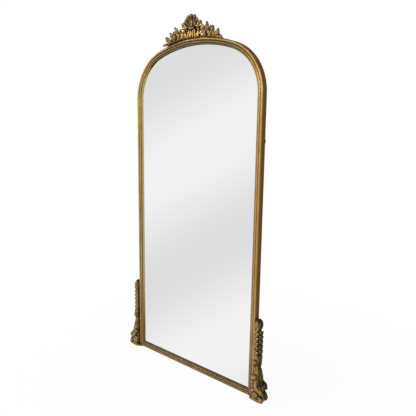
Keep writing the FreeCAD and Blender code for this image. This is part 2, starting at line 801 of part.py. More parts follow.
def spray():
    """Right-hand spray: leaves of falling height, a scroll at the inner end, their ground and base."""
    face = -BACK
    thickness = value("leaf_thickness")
    solids = [crest_base(*SPRAY_BASE_SHARES), crest_ground(SPRAY_GROUND_SHARES)]
    for root, tip, width_share, bow, lift_share in SPRAY_LEAF_SHARES:
        ends = [crest_point(*shares) + face * (thickness * lift_share) for shares in (root, tip)]
        solids.append(leaf(*ends, value("crest_height") * width_share, thickness, bow, tip_lean,
                           POINTED_WIDTH_SHARES, face))
    curl_start_angle = -60
    solids.append(volute(crest_point(*SPRAY_CURL_SHARES), value("side_volute_radius"),
                         value("side_volute_wire"), curl_start_angle, 1))
    return fused(solids)


def add_crest():
    """Three castings pinned to the top of the arch."""
    envelope = arch_envelope()
    middle = palmette().cut(envelope)
    right = spray().cut(envelope).cut(middle)
    keep(add_shape("crest_palmette", middle), "crest_palmette")
    right_spray = keep(add_shape("right_crest_spray", right), "right_crest_spray")
    mirrored(right_spray, "left_crest_spray")
    pins = []
    base_share = 0.8
    for across_share in CREST_PIN_SHARES:
        angle = math.asin(across_share * value("crest_half_width") / arch_radius)
        heading = Vector(math.sin(angle), 0, math.cos(angle))
        top = arch_radius + value("seat_gap") + value("crest_base_rise") * base_share
        centre = Vector(0, value("crest_pin_depth"), crown_centre.value)
        start = centre + heading * (top - value("pin_length"))
        pins.append(Part.makeCylinder(value("pin_radius"), value("pin_length"), start, heading))
    keep(add_shape("crest_pins", Part.makeCompound(pins)), "crest_pins")


# Bracket foot below its husks: height as a share of the husks' foot, then outward and forward reach as
# shares of the foot's own
BRACKET_SHARES = (
    (0.0, 0.62, 0.72),
    (0.038, 0.86, 0.95),
    (0.143, 1.0, 1.0),
    (0.215, 0.95, 0.96),
    (0.25, 0.86, 0.88),
    (0.275, 0.9, 0.9),
    (0.31, 0.92, 0.92),
    (0.392, 0.82, 0.86),
    (0.503, 0.6, 0.8),
    (0.596, 0.44, 0.72),
    (0.707, 0.37, 0.66),
    (0.835, 0.43, 0.85),
    (0.92, 0.51, 1.05),
    (0.971, 0.47, 1.0),
)
# Domed top of the bracket: height above the husks as a share of what is left, then both reaches
KNOB_SHARES = ((0.12, 0.95), (0.5, 0.9), (0.8, 0.66), (0.95, 0.34), (1.0, 0.12))
# Leaves of one husk, on the front, the corner and the side: the way it faces, then root and tip as shares
# of the husks' reach, of their depth forward or of the frame's depth back, and of their pitch
HUSK_LEAF_SHARES = (
    (Vector(0, -1, 0), (0.22, -0.5, 0.0), (0.5, -0.6, 1.3)),
    (Vector(1, -1, 0).normalize(), (0.64, -0.3, -0.1), (0.84, -0.4, 1.2)),
    (Vector(1, 0, 0), (0.72, 0.5, 0.0), (0.86, 0.5, 1.25)),
)
# Leaves of a foot, on its front and on its side: root and tip as shares of its reach, of its depth forward
# or back and of the husks' foot, then bow as a share of length
FRONT_LEAF_SHARES = (
    ((0.25, 0.3, 0.85), (0.36, 0.78, 0.34), -0.08),
    ((0.22, 0.4, 0.72), (0.3, 0.68, 0.99), 0.0),
    ((0.5, 0.4, 0.62), (0.76, 0.62, 0.31), 0.08),
)
SIDE_LEAF_SHARES = (
    ((0.38, 0.35, 0.85), (0.93, 0.3, 0.29), 0.0),
    ((0.34, 0.35, 0.72), (0.5, 0.35, 0.99), 0.0),
)
# Eye of a foot's scroll: shares of the foot's reach and of the husks' foot
FOOT_SCROLL_SHARES = (0.34, 0.15)
FOOT_PIN_SHARES = (0.12, 0.45, 0.8)


def bracket_stations():
    """Heights and reaches of the bracket's sections, from the floor up."""
    foot = frame_foot.value
    rise = value("husk_base_height") - foot
    stations = [(foot + rise * up, value("foot_reach") * out, value("bracket_front") * front)
                for up, out, front in BRACKET_SHARES]
    waist = (value("husk_waist_reach"), value("husk_waist_front"))
    lip = (value("husk_lip_reach"), value("husk_lip_front"))
    start = value("husk_base_height") + value("husk_run_height")
    stations.extend((height, *waist) for height in (value("husk_base_height"), start))
    for up, reach in KNOB_SHARES:
        stations.append((start + (value("foot_height") - start) * up, lip[0] * reach, lip[1] * reach))
    return stations


def bracket_section(height, reach, front):
    """Plan of the bracket at one height: flat against the stile and behind, rounded in front."""
    inner = outer_half.value + value("seat_gap")
    outer = inner + reach
    back = value("frame_depth")
    depth = back + front
    round_share = 0.42
    nose = min(reach, depth) * round_share
    heel = min(value("corner_radius"), nose)
    slant = 1 - math.sqrt(0.5)

    def at(x, y):
        return Vector(x, y, height)

    edges = [
        Part.makeLine(at(inner, back), at(inner, heel - front)),
        Part.Arc(at(inner, heel - front), at(inner + heel * slant, heel * slant - front),
                 at(inner + heel, -front)).toShape(),
        Part.makeLine(at(inner + heel, -front), at(outer - nose, -front)),
        Part.Arc(at(outer - nose, -front), at(outer - nose * slant, nose * slant - front),
                 at(outer, nose - front)).toShape(),
        Part.makeLine(at(outer, nose - front), at(outer, back - heel)),
        Part.Arc(at(outer, back - heel), at(outer - heel * slant, back - heel * slant),
                 at(outer - heel, back)).toShape(),
        Part.makeLine(at(outer - heel, back), at(inner, back)),
    ]
    return Part.Wire(edges)


def husks(x):
    """Run of overlapping husks beside a stile whose outer side is at x, each of three leaves."""
    pitch = value("husk_run_height") / HUSK_COUNT
    lean = value("husk_lip_front") - value("husk_waist_front")

    def at(out, along, up):
        depth = value("husk_lip_front") if along < 0 else value("frame_depth")
        height = value("husk_base_height") + pitch * up
        return Vector(x + value("husk_lip_reach") * out, depth * along, height)

    tier = fused([leaf(at(*root), at(*tip), value("husk_leaf_width"), value("husk_leaf_thickness"), 0, lean,
                       POINTED_WIDTH_SHARES, face) for face, root, tip in HUSK_LEAF_SHARES])
    return [tier.translated(UP * (pitch * index)) for index in range(HUSK_COUNT)]


def add_feet():
    """Carved bracket feet beside the stiles, their leaves, scrolls, pins and floor pads."""
    bracket = Part.makeLoft([bracket_section(*station) for station in bracket_stations()], True, True)
    right_bracket = keep(add_shape("right_foot_bracket", bracket), "right_foot_bracket")
    x = outer_half.value + value("seat_gap")
    height, reach = value("husk_base_height"), value("foot_reach")
    leaf_size = (value("foot_leaf_width"), value("foot_leaf_thickness"))
    blades = []
    for leaves, face, depth in ((FRONT_LEAF_SHARES, -BACK, -value("foot_projection")),
                                (SIDE_LEAF_SHARES, RIGHT, value("frame_depth"))):
        for root, tip, bow in leaves:
            ends = [Vector(x + reach * out, depth * along, height * up) for out, along, up in (root, tip)]
            blades.append(leaf(*ends, *leaf_size, bow, 0, POINTED_WIDTH_SHARES, face))
    wire = value("foot_scroll_wire")
    eye_out_share, eye_up_share = FOOT_SCROLL_SHARES
    centre = Vector(x + reach * eye_out_share, wire - value("foot_projection"), height * eye_up_share)
    scroll = volute(centre, value("foot_scroll_radius"), wire, 90, 1).cut(bracket)
    carved = Part.makeCompound(fused(husks(x) + blades).cut(bracket).cut(scroll).Solids)
    right_leaves = keep(add_shape("right_foot_leaves", carved), "right_foot_leaves")
    right_scroll = keep(add_shape("right_foot_scroll", scroll), "right_foot_scroll")
    mirrored(right_bracket, "left_foot_bracket")
    mirrored(right_leaves, "left_foot_leaves")
    mirrored(right_scroll, "left_foot_scroll")
    pins = []
    pin_depth = (panel_seat + size("frame_depth")).value / 2
    for side in (1, -1):
        for share in FOOT_PIN_SHARES:
            start = Vector(side * (outer_half.value - value("pin_length") / 2), pin_depth,
                           value("foot_height") * share)
            pins.append(Part.makeCylinder(value("pin_radius"), value("pin_length"), start, RIGHT * side))
    keep(add_shape("foot_pins", Part.makeCompound(pins)), "foot_pins")
    pad_start = Vector((sight_half + size("glass_rebate_width")).value, -value("pad_front"), 0)
    pad = Part.makeBox(value("pad_width"), value("frame_depth") + value("pad_front"),
                       value("pad_thickness"), pad_start)
    right_pad = keep(add_shape("right_foot_pad", pad), "right_foot_pad")
    mirrored(right_pad, "left_foot_pad")


def add_strap():
    """Hanger strap: a plate that screws to the stile's back, with a knuckle at its top."""
    body = add_body("StrapBlank")
    half = size("strap_width") / 2
    end_round_share = 1.2
    outline = add_sketch(body, "StrapOutline", "XZ_Plane")
    draw_outline(outline, [
        (-half, as_dim(0), None),
        (-half, half - size("strap_length"), (half * end_round_share, -1)),
        (half, half - size("strap_length"), None),
        (half, as_dim(0), None),
    ])
    plate = body.newObject("PartDesign::Pad", "StrapPlate")
    plate.Profile = outline
    plate.Reversed = True
    bind(plate, "Length", size("strap_thickness"))
    bore_radius = size("ring_wire_radius") + size("ring_running_gap")
    knuckle_radius = bore_radius + size("knuckle_wall")
    for name, kind, radius, width in (
            ("Knuckle", "PartDesign::Pad", knuckle_radius, size("knuckle_width")),
            ("KnuckleBore", "PartDesign::Pocket", bore_radius, size("strap_width") * 2)):
        ring = add_sketch(body, f"{name}Circle", "YZ_Plane")
        circle = ring.addGeometry(Part.Circle(Vector(knuckle_radius.value, 0, 0), UP, radius.value), False)
        bind_corner(ring, circle, 3, (knuckle_radius, as_dim(0)))
        index = ring.addConstraint(Sketcher.Constraint("Radius", circle, radius.value))
        ring.setExpression(f"Constraints[{index}]", radius.text)
        feature = body.newObject(kind, name)
        feature.Profile = ring
        feature.Midplane = True
        bind(feature, "Length", width)
    bind(body, "Placement.Base.x", sight_half + land_middle)
    bind(body, "Placement.Base.y", depth_shift + size("frame_depth"))
    bind(body, "Placement.Base.z", hanger_height)
    return body


def ring_shape():
    """Closed wire loop, hanging straight down from its pivot bar at the origin."""
    half, bend, leg = value("ring_width") / 2, value("ring_bend_radius"), value("ring_leg")
    slant = bend * (1 - math.sqrt(0.5))

    def at(x, z):
        return Vector(x, 0, z)

    edges = [
        Part.makeLine(at(0, 0), at(half - bend, 0)),
        Part.Arc(at(half - bend, 0), at(half - slant, -slant), at(half, -bend)).toShape(),
        Part.makeLine(at(half, -bend), at(half, -leg)),
        Part.Arc(at(half, -leg), at(0, -leg - half), at(-half, -leg)).toShape(),
        Part.makeLine(at(-half, -leg), at(-half, -bend)),
        Part.Arc(at(-half, -bend), at(slant - half, -slant), at(bend - half, 0)).toShape(),
        Part.makeLine(at(bend - half, 0), at(0, 0)),
    ]
    section = Part.Wire(Part.Circle(at(0, 0), RIGHT, value("ring_wire_radius")).toShape())
    return Part.Wire(edges).makePipe(Part.Face(section))


def add_hangers():
    """Two ring hangers on the stiles' backs, each a strap, a ring and two screws."""
    blank = add_strap()
    x = (sight_half + land_middle).value
    back = value("frame_depth") + value("strap_thickness")
    hole_shares = (0.34, 0.76)
    right_screws = [screw(Vector(x, back, hanger_height.value - value("strap_length") * share),
                          -BACK, value("plate_screw_length")) for share in hole_shares]
    left_screws = [item.mirror(Vector(0, 0, 0), RIGHT) for item in right_screws]
    screws = keep(add_shape("hanger_screws", Part.makeCompound(right_screws + left_screws)),
                  "hanger_screws")
    strap = doc.addObject("Part::Cut", "right_hanger_strap")
    strap.Base = blank
    strap.Tool = screws
    keep(strap, "right_hanger_strap")
    mirrored(strap, "left_hanger_strap")
    ring = doc.addObject("Part::Feature", "right_hanger_ring")
    ring.Shape = ring_shape()
    ring.Placement = Placement(
        Vector(x, depth_shift.value + pivot_depth.value, hanger_height.value),
        Rotation(RIGHT, value("ring_rest_angle")))
    keep(ring, "right_hanger_ring")
    mirrored(ring, "left_hanger_ring")


def add_bumpers():
    """Soft buttons that keep the frame's back off a wall."""
    out = land_middle.value
    turn = math.radians(90 - crown_half_angle.value) / 2
    shoulder_reach = shoulder_radius.value + out
    places = [(sight_half.value + out, value("bumper_height")),
              (shoulder_centre.value + shoulder_reach * math.cos(turn),
               springing.value + shoulder_reach * math.sin(turn))]
    buttons = [Part.makeCylinder(value("bumper_radius"), value("bumper_thickness"),
                                 Vector(side * x, value("frame_depth"), z), BACK)
               for x, z in places for side in (1, -1)]
    keep(add_shape("wall_bumpers", Part.makeCompound(buttons)), "wall_bumpers")


right_stile = add_stile()
left_stile = mirrored(right_stile, "left_stile")
right_shoulder = add_shoulder()
mirrored(right_shoulder, "left_shoulder")
add_crown()
add_rail([right_stile, left_stile])
add_filling()
add_plates()
add_crest()
add_feet()
add_hangers()
add_bumpers()
doc.recompute()

for item in doc.Objects:
    if any(state in ("Invalid", "Error") for state in item.State):
        raise RuntimeError(f"{item.Label} failed: {item.State}")
for item in subparts:
    if item.Shape.isNull() or not item.Shape.isValid() or not item.Shape.Solids:
        raise RuntimeError(f"{item.Label} has no valid solid")

os.makedirs("parts", exist_ok=True)
for item in subparts:
    item.Shape.exportStep(f"parts/{item.Label}.step")
    print(f"{item.Label}: {len(item.Shape.Solids)} solids, {item.Shape.Volume / 1000:.1f} cm3")
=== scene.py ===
"""Looks of an arched gilt floor mirror: carved crest and feet, gilding, glass and the fittings behind.

Everything is in metres in the frame of the CAD part: +Z up, the glass faces -Y, x = 0 in the middle.
"""

import json
import logging
import math
from collections.abc import Callable, Iterable, Sequence
from dataclasses import dataclass, field
from enum import Enum

import bmesh
import bpy
import numpy as np
from mathutils import Matrix, Vector


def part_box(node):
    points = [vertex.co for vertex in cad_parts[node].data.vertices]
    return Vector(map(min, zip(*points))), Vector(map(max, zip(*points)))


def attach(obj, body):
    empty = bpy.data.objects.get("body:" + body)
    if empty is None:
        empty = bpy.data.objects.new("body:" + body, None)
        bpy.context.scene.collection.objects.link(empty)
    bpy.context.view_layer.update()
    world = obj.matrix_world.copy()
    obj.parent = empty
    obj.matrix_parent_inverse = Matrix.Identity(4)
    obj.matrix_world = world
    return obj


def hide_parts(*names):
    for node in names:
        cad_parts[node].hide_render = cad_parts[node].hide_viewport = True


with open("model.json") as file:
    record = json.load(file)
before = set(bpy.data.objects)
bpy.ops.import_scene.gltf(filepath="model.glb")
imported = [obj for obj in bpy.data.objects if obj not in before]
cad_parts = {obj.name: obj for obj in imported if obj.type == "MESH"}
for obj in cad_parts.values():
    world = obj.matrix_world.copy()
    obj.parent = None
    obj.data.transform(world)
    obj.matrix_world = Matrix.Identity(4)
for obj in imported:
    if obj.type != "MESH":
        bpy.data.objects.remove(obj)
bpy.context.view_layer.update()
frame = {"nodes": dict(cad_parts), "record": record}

log = logging.getLogger("mirror")

Colour = tuple[float, float, float, float]
Shell = tuple[np.ndarray, list[tuple[int, ...]]]
ROOT_BODY = "frame"
MM = 0.001
FRONT = np.array((0.0, -1.0, 0.0))
UP = np.array((0.0, 0.0, 1.0))
RIGHT = np.array((1.0, 0.0, 0.0))


def tone(red: int, green: int, blue: int) -> Colour:
    """Linear colour of a screen colour from 0 to 255.

    Args:
        red: Red of the screen colour.
        green: Green of the screen colour.
        blue: Blue of the screen colour.

    Returns:
        The colour as a shader takes it, opaque.
    """
    def linear(part: int) -> float:
        """One part of the screen colour as light."""
        share = part / 255
        return share / 12.92 if share <= 0.04045 else ((share + 0.055) / 1.055) ** 2.4

    return (linear(red), linear(green), linear(blue), 1.0)


def unit(vector: np.ndarray) -> np.ndarray:
    """The vector, or each row of it, at length one."""
    return vector / np.maximum(np.linalg.norm(vector, axis=-1, keepdims=True), 1e-12)


def ease(values: np.ndarray, low: float, high: float) -> np.ndarray:
    """Smooth step from 0 at low to 1 at high."""
    share = np.clip((values - low) / (high - low), 0, 1)
    return share * share * (3 - 2 * share)


class Wire:
    """A node's output that takes part in sums, each of which adds a Math node."""

    def __init__(self, nodes: "Nodes", socket: bpy.types.NodeSocket) -> None:
        """Wraps one output socket of a tree."""
        self.nodes = nodes
        self.socket = socket

    def __add__(self, other: "Wire | float") -> "Wire":
        """Sum."""
        return self.nodes.maths("ADD", self, other)

    __radd__ = __add__

    def __mul__(self, other: "Wire | float") -> "Wire":
        """Product."""
        return self.nodes.maths("MULTIPLY", self, other)

    __rmul__ = __mul__

    def __sub__(self, other: "Wire | float") -> "Wire":
        """Difference."""
        return self.nodes.maths("SUBTRACT", self, other)

    def __rsub__(self, other: float) -> "Wire":
        """Difference from a number."""
        return self.nodes.maths("SUBTRACT", other, self)

    def most(self, other: "Wire | float") -> "Wire":
        """The larger of two values."""
        return self.nodes.maths("MAXIMUM", self, other)

    def step(self, low: float, high: float) -> "Wire":
        """Smooth step from 0 at low to 1 at high.

        Args:
            low: Value below which the result is 0.
            high: Value above which the result is 1.

        Returns:
            The eased share.
        """
        return self.nodes.wire("ShaderNodeMapRange", {"interpolation_type": "SMOOTHSTEP"},
                               {"Value": self, "From Min": low, "From Max": high})


class Nodes:
    """A node tree that is written as expressions."""

    def __init__(self, tree: bpy.types.NodeTree) -> None:
        """Starts on an emptied tree."""
        self.tree = tree
        tree.nodes.clear()

    def add(self, kind: str, settings: dict | None = None, inputs: dict | None = None) -> bpy.types.Node:
        """Adds a node.

        Args:
            kind: The node's type.
            settings: Properties that are set first.
            inputs: Values or wires for its sockets, by name or index.

        Returns:
            The new node.
        """
        node = self.tree.nodes.new(kind)
        for name, value in (settings or {}).items():
            setattr(node, name, value)
        for key, value in (inputs or {}).items():
            if isinstance(value, Wire):
                self.tree.links.new(value.socket, node.inputs[key])
            else:
                node.inputs[key].default_value = value
        return node

    def wire(self, kind: str, settings: dict | None = None, inputs: dict | None = None,
             output: str | int = 0) -> Wire:
        """Adds a node and returns one of its outputs, with the arguments of add."""
        return Wire(self, self.add(kind, settings, inputs).outputs[output])

    def maths(self, operation: str, *values: Wire | float) -> Wire:
        """Adds one Math node and returns its output."""
        return self.wire("ShaderNodeMath", {"operation": operation}, dict(enumerate(values)))

    def bump(self, height: Wire, strength: float, distance: float) -> Wire:
        """Normals of a surface with small bumps on it.

        Args:
            height: Height of the bumps.
            strength: Share of them that shows.
            distance: Height that a value of 1 stands for.

        Returns:
            The bent normals.
        """
        values = {"Height": height, "Strength": strength, "Distance": distance}
        return self.wire("ShaderNodeBump", None, values)

    def light_paths(self, *names: str) -> list[Wire]:
        """What kind of ray meets the surface, by the names of the Light Path node's outputs."""
        path = self.add("ShaderNodeLightPath")
        return [Wire(self, path.outputs[name]) for name in names]

    def give(self, geometry: Wire, finish: Wire) -> None:
        """Ends a Geometry Nodes tree: the geometry as one mesh in one material."""
        whole = self.wire("GeometryNodeRealizeInstances", None, {"Geometry": geometry})
        dressed = self.wire("GeometryNodeSetMaterial", None, {"Geometry": whole, "Material": finish})
        self.add("NodeGroupOutput", None, {"Geometry": dressed})

    def blend(self, share: Wire | float, first: Wire | Colour, second: Wire | Colour) -> Wire:
        """Mixes two colours.

        Args:
            share: Share of the second colour.
            first: Colour at share 0.
            second: Colour at share 1.

        Returns:
            The mixed colour.
        """
        return self.wire("ShaderNodeMix", {"data_type": "RGBA"}, {0: share, 6: first, 7: second}, 2)

    def noise(self, where: Wire, scale: float, detail: float = 3.0, roughness: float = 0.55) -> Wire:
        """Fractal noise from 0 to 1 about a half.

        Args:
            where: Coordinates.
            scale: Waves to the metre.
            detail: Octaves.
            roughness: Share that each octave keeps.

        Returns:
            The noise value.
        """
        return self.wire("ShaderNodeTexNoise", None,
                         {"Vector": where, "Scale": scale, "Detail": detail, "Roughness": roughness}, "Fac")

    def attribute(self, name: str) -> Wire:
        """A number stored on the mesh."""
        return self.wire("ShaderNodeAttribute", {"attribute_name": name}, None, "Fac")

    def place(self, stretch: Sequence[float] = (1, 1, 1)) -> Wire:
        """Object coordinates, stretched by a factor along each axis."""
        where = self.wire("ShaderNodeTexCoord", None, None, "Object")
        return self.wire("ShaderNodeMapping", None, {"Vector": where, "Scale": tuple(stretch)})


@dataclass(frozen=True)
class Finish:
    """A finish on one Principled shader."""

    name: str

    def looks(self, nodes: Nodes) -> dict:
        """Sockets of the finish.

        Args:
            nodes: The material's nodes.

        Returns:
            Values for the Principled shader, by socket.
        """
        raise NotImplementedError

    def material(self) -> bpy.types.Material:
        """The finish as a material."""
        material = bpy.data.materials.new(self.name)
        material.use_nodes = True
        nodes = Nodes(material.node_tree)
        shader = nodes.wire("ShaderNodeBsdfPrincipled", None, self.looks(nodes))
        nodes.add("ShaderNodeOutputMaterial", None, {"Surface": shader})
        return material


class WearAndLight(str, Enum):
    """Numbers that a gilt piece carries on its mesh: dark wash with painted shade, rubbing with painted
    highlights, and paint.
    """

    # dark wash in the hollows, together with painted shade
    HOLLOW = "hollow"
    # rubbed high parts, together with painted highlights
    RUB = "rub"
    BARE = "bare"


@dataclass(frozen=True)
class GiltFinish(Finish):
    """Gold leaf on a red-brown ground, with a dark wash and painted shade in the hollows, and rubbed high
    parts with painted highlights.

    Scales of clouds, specks and scuffs are in waves to the metre.
    """

    leaf: Colour = tone(178, 137, 71)
    pale_leaf: Colour = tone(182, 146, 84)
    # pale colour of rubbed gilding, which is also the colour of the painted highlight
    worn_and_highlight: Colour = tone(228, 208, 158)
    ground: Colour = tone(104, 66, 38)
    # colour of the dark wash, which is also the colour of the painted shade
    wash_and_shade_colour: Colour = tone(44, 30, 13)
    # paint behind and on the outer sides, where it also stands in for the shade on the sides
    back_paint: Colour = tone(116, 72, 16)
    stretch: tuple[float, float, float] = (1, 1, 1)
    wash_and_shade_strength: float = 1.0
    mottle: float = 1.0
    cloud_scale: float = 38
    speck_scale: float = 420
    scuff_scale: float = 130
    roughness: float = 0.28
    bump_depth: float = 0.4 * MM

    def looks(self, nodes: Nodes) -> dict:
        """Leaf, worn through in specks, rubbed pale with painted highlights, darkened by wash with painted
        shade and painted behind, one over the other.
        """
        where = nodes.place(self.stretch)
        cloud = nodes.noise(where, self.cloud_scale, 4)
        speck = nodes.noise(where, self.speck_scale, 3, 0.65)
        scuff = nodes.noise(where, self.scuff_scale, 5, 0.62)
        hollow, rub, bare = (nodes.attribute(wear_and_light.value) for wear_and_light in WearAndLight)
        colour = nodes.blend(cloud.step(0.32, 0.7), self.leaf, self.pale_leaf)
        worn_through = scuff.step(0.6, 0.72) * (0.3 * self.mottle)
        colour = nodes.blend(worn_through, colour, self.ground)
        # rubbed pale gilding together with a painted highlight
        shine = (rub * (0.6 + 0.6 * cloud)).step(0.06, 0.85)
        colour = nodes.blend(shine, colour, self.worn_and_highlight)
        grain = (speck + scuff - 1) * (0.2 * self.mottle)
        # dark wash together with painted shade, pooled in the hollows
        pooled_wash_and_shade = (hollow * self.wash_and_shade_strength + grain).step(0.1, 0.85)
        colour = nodes.blend(pooled_wash_and_shade, colour, self.wash_and_shade_colour)
        colour = nodes.blend(bare, colour, self.back_paint)
        dull = pooled_wash_and_shade.most(bare)
        roughness = self.roughness + 0.1 * scuff + 0.3 * dull - 0.1 * shine
        metallic = 1 - 0.85 * dull - worn_through * 0.5
        height = cloud * 0.6 + speck * 0.4 + scuff * 0.5
        bump = nodes.bump(height, 0.22 * self.mottle, self.bump_depth)
        return {"Base Color": colour, "Roughness": roughness, "Metallic": metallic, "Normal": bump}


@dataclass(frozen=True)
class SilverFinish(Finish):
    """Clear glass silvered behind, a little duller at its rim."""

    name: str = "silvered_glass"
    silver: Colour = tone(247, 247, 247)
    tarnish: Colour = tone(216, 217, 216)
    half_width: float = 0.396
    rim: float = 4 * MM
    smear_scale: float = 5
    roughness: float = 0.006
    smeared_roughness: float = 0.012

    def looks(self, nodes: Nodes) -> dict:
        """Polished silver with a faint smear, tarnished along the stiles."""
        where = nodes.place()
        smear = nodes.noise(where, self.smear_scale, 2)
        across = nodes.wire("ShaderNodeSeparateXYZ", None, {"Vector": where}, "X")
        edge = nodes.maths("ABSOLUTE", across)
        dull_rim = edge.step(self.half_width - self.rim, self.half_width + 1 * MM)
        colour = nodes.blend(dull_rim * smear.step(0.3, 0.7) * 0.6, self.silver, self.tarnish)
        roughness = self.roughness + self.smeared_roughness * smear.step(0.45, 0.8)
        return {"Base Color": colour, "Metallic": 1.0, "Roughness": roughness}


@dataclass(frozen=True)
class BoardFinish(Finish):
    """Brown fibreboard with pressed fibres and darker flecks."""

    name: str = "panel_board"
    board: Colour = tone(134, 98, 64)
    dark_board: Colour = tone(104, 72, 44)
    fleck: Colour = tone(70, 46, 28)
    cloud_scale: float = 2.4
    fibre_scale: float = 520
    fleck_scale: float = 900
    roughness: float = 0.72
    bump_depth: float = 0.2 * MM

    def looks(self, nodes: Nodes) -> dict:
        """Board in faint clouds and fibres, with flecks over them."""
        where = nodes.place()
        cloud = nodes.noise(where, self.cloud_scale, 2)
        fibre = nodes.noise(nodes.place((1, 1, 0.25)), self.fibre_scale, 3, 0.7)
        fleck = nodes.noise(where, self.fleck_scale, 2)
        darker = cloud.step(0.3, 0.7) * 0.35 + fibre.step(0.3, 0.7) * 0.3
        colour = nodes.blend(darker, self.board, self.dark_board)
        colour = nodes.blend(fleck.step(0.6, 0.74) * 0.6, colour, self.fleck)
        bump = nodes.bump(fibre, 0.25, self.bump_depth)
        return {"Base Color": colour, "Roughness": self.roughness + 0.16 * fibre, "Normal": bump}


@dataclass(frozen=True)
class PlatedFinish(Finish):
    """Zinc plate over pressed steel, with rolling marks and dull patches."""

    metal: Colour = tone(196, 198, 200)
    dull: Colour = tone(150, 152, 152)
    rolled_scale: float = 1500
    patch_scale: float = 160
    roughness: float = 0.28
    bump_depth: float = 0.1 * MM

    def looks(self, nodes: Nodes) -> dict:
        """Metal in bright and dull patches, with fine upright rolling marks."""
        rolled = nodes.noise(nodes.place((1, 1, 0.05)), self.rolled_scale, 2)
        patch = nodes.noise(nodes.place(), self.patch_scale, 3)
        colour = nodes.blend(patch.step(0.35, 0.7), self.metal, self.dull)
        roughness = self.roughness + 0.2 * patch + 0.08 * rolled
        bump = nodes.bump(rolled, 0.12, self.bump_depth)
        return {"Base Color": colour, "Metallic": 1.0, "Roughness": roughness, "Normal": bump}


@dataclass(frozen=True)
class SoftFinish(Finish):
    """Felt, rubber or foam: matt, with a fine surface of its own."""

    colour: Colour
    pale: Colour
    grain: float
    depth: float
    roughness: float

    def looks(self, nodes: Nodes) -> dict:
        """Two shades mixed by fibres and clouds of the stuff's own grain."""
        where = nodes.place()
        fibre = nodes.noise(where, self.grain, 4, 0.7)
        cloud = nodes.noise(where, self.grain / 12, 2)
        colour = nodes.blend((fibre * 0.6 + cloud * 0.4).step(0.35, 0.7), self.colour, self.pale)
        bump = nodes.bump(fibre, 0.5, self.depth)
        return {"Base Color": colour, "Roughness": self.roughness + 0.08 * cloud, "Normal": bump}


class Slot(str, Enum):
    """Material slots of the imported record."""

    WOOD = "gilt_wood"
    CASTING = "gilt_casting"
    GLASS = "silvered_glass"
    FOAM = "foam_sheet"
    BOARD = "panel_board"
    RUBBER = "rubber"
    FELT = "felt"
    ZINC = "zinc_steel"
    SCREW = "screw_steel"


def finishes() -> dict[Slot, bpy.types.Material]:
    """One material for each slot of the record."""
    made = (
        # the wood's leaf is paler and the castings' darker, as painted light and painted shade on one gilding
        GiltFinish("gilt_wood", leaf=tone(190, 152, 86), pale_leaf=tone(204, 170, 106), stretch=(1, 1, 0.35),
                   wash_and_shade_strength=0.85, mottle=0.5),
        GiltFinish("gilt_casting", leaf=tone(134, 104, 57)),
        SilverFinish(),
        SoftFinish("foam_sheet", tone(224, 224, 220), tone(240, 240, 238), 700, 0.2 * MM, 0.85),
        BoardFinish(),
        SoftFinish("rubber", tone(30, 30, 31), tone(46, 46, 47), 900, 0.05 * MM, 0.62),
        SoftFinish("felt", tone(66, 50, 38), tone(96, 76, 58), 1600, 0.4 * MM, 0.95),
        PlatedFinish("zinc_steel"),
        PlatedFinish("screw_steel", tone(206, 178, 104), tone(150, 128, 78)),
    )
    return {Slot(finish.name): finish.material() for finish in made}


def new_object(name: str, data: bpy.types.ID) -> bpy.types.Object:
    """Puts a mesh, curve, camera or lamp in the scene as an object at the origin."""
    thing = bpy.data.objects.new(name, data)
    bpy.context.scene.collection.objects.link(thing)
    return thing


def store(mesh: bpy.types.Mesh, name: str, values: np.ndarray) -> None:
    """Stores one number for each vertex of a mesh."""
    layer = mesh.attributes.get(name) or mesh.attributes.new(name, "FLOAT", "POINT")
    layer.data.foreach_set("value", values.astype(np.float32))


def read_vertices(mesh: bpy.types.Mesh, what: str = "co") -> np.ndarray:
    """Places of a mesh's vertices, or with "normal" their directions out of it, one to a row."""
    rows = np.zeros(len(mesh.vertices) * 3, np.float32)
    mesh.vertices.foreach_get(what, rows)
    return rows.reshape(-1, 3).astype(float)


def write_points(mesh: bpy.types.Mesh, places: np.ndarray) -> None:
    """Moves a mesh's vertices to new places."""
    mesh.vertices.foreach_set("co", places.astype(np.float32).ravel())
    mesh.update()


def outward(mesh: bpy.types.Mesh) -> None:
    """Merges doubles and points every face outwards."""
    work = bmesh.new()
    work.from_mesh(mesh)
    bmesh.ops.remove_doubles(work, verts=work.verts, dist=0.005 * MM)
    bmesh.ops.recalc_face_normals(work, faces=work.faces)
    work.to_mesh(mesh)
    work.free()


def closed_mesh(name: str, shell: Shell) -> bpy.types.Mesh:
    """A smooth mesh of a closed shell."""
    points, faces = shell
    mesh = bpy.data.meshes.new(name)
    mesh.from_pydata(points.tolist(), [], faces)
    outward(mesh)
    mesh.shade_smooth()
    return mesh


def settled(thing: bpy.types.Object) -> bpy.types.Mesh:
    """The mesh of an object with its modifiers carried out, which are then removed.

    Args:
        thing: An object with modifiers.

    Returns:
        Its plain mesh, now the object's own.
    """
    graph = bpy.context.evaluated_depsgraph_get()
    mesh = bpy.data.meshes.new_from_object(thing.evaluated_get(graph), preserve_all_data_layers=True,
                                           depsgraph=graph)
    thing.modifiers.clear()
    thing.data = mesh
    mesh.name = thing.name
    return mesh


def hand_over(thing: bpy.types.Object, replaced: Iterable[str], body: str = ROOT_BODY) -> None:
    """Hangs a finished piece on the CAD body that carries it and hides the CAD nodes that it stands for.

    Args:
        thing: The finished piece.
        replaced: CAD nodes that it stands for.
        body: CAD body that carries it.
    """
    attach(thing, body)
    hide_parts(*replaced)
    log.info("%s: %d vertices", thing.name, len(thing.data.vertices))


def bezier(start: np.ndarray, bend: np.ndarray, end: np.ndarray, count: int) -> np.ndarray:
    """Points along a quadratic curve."""
    share = np.linspace(0, 1, count)[:, None]
    return (1 - share) ** 2 * start + 2 * share * (1 - share) * bend + share ** 2 * end


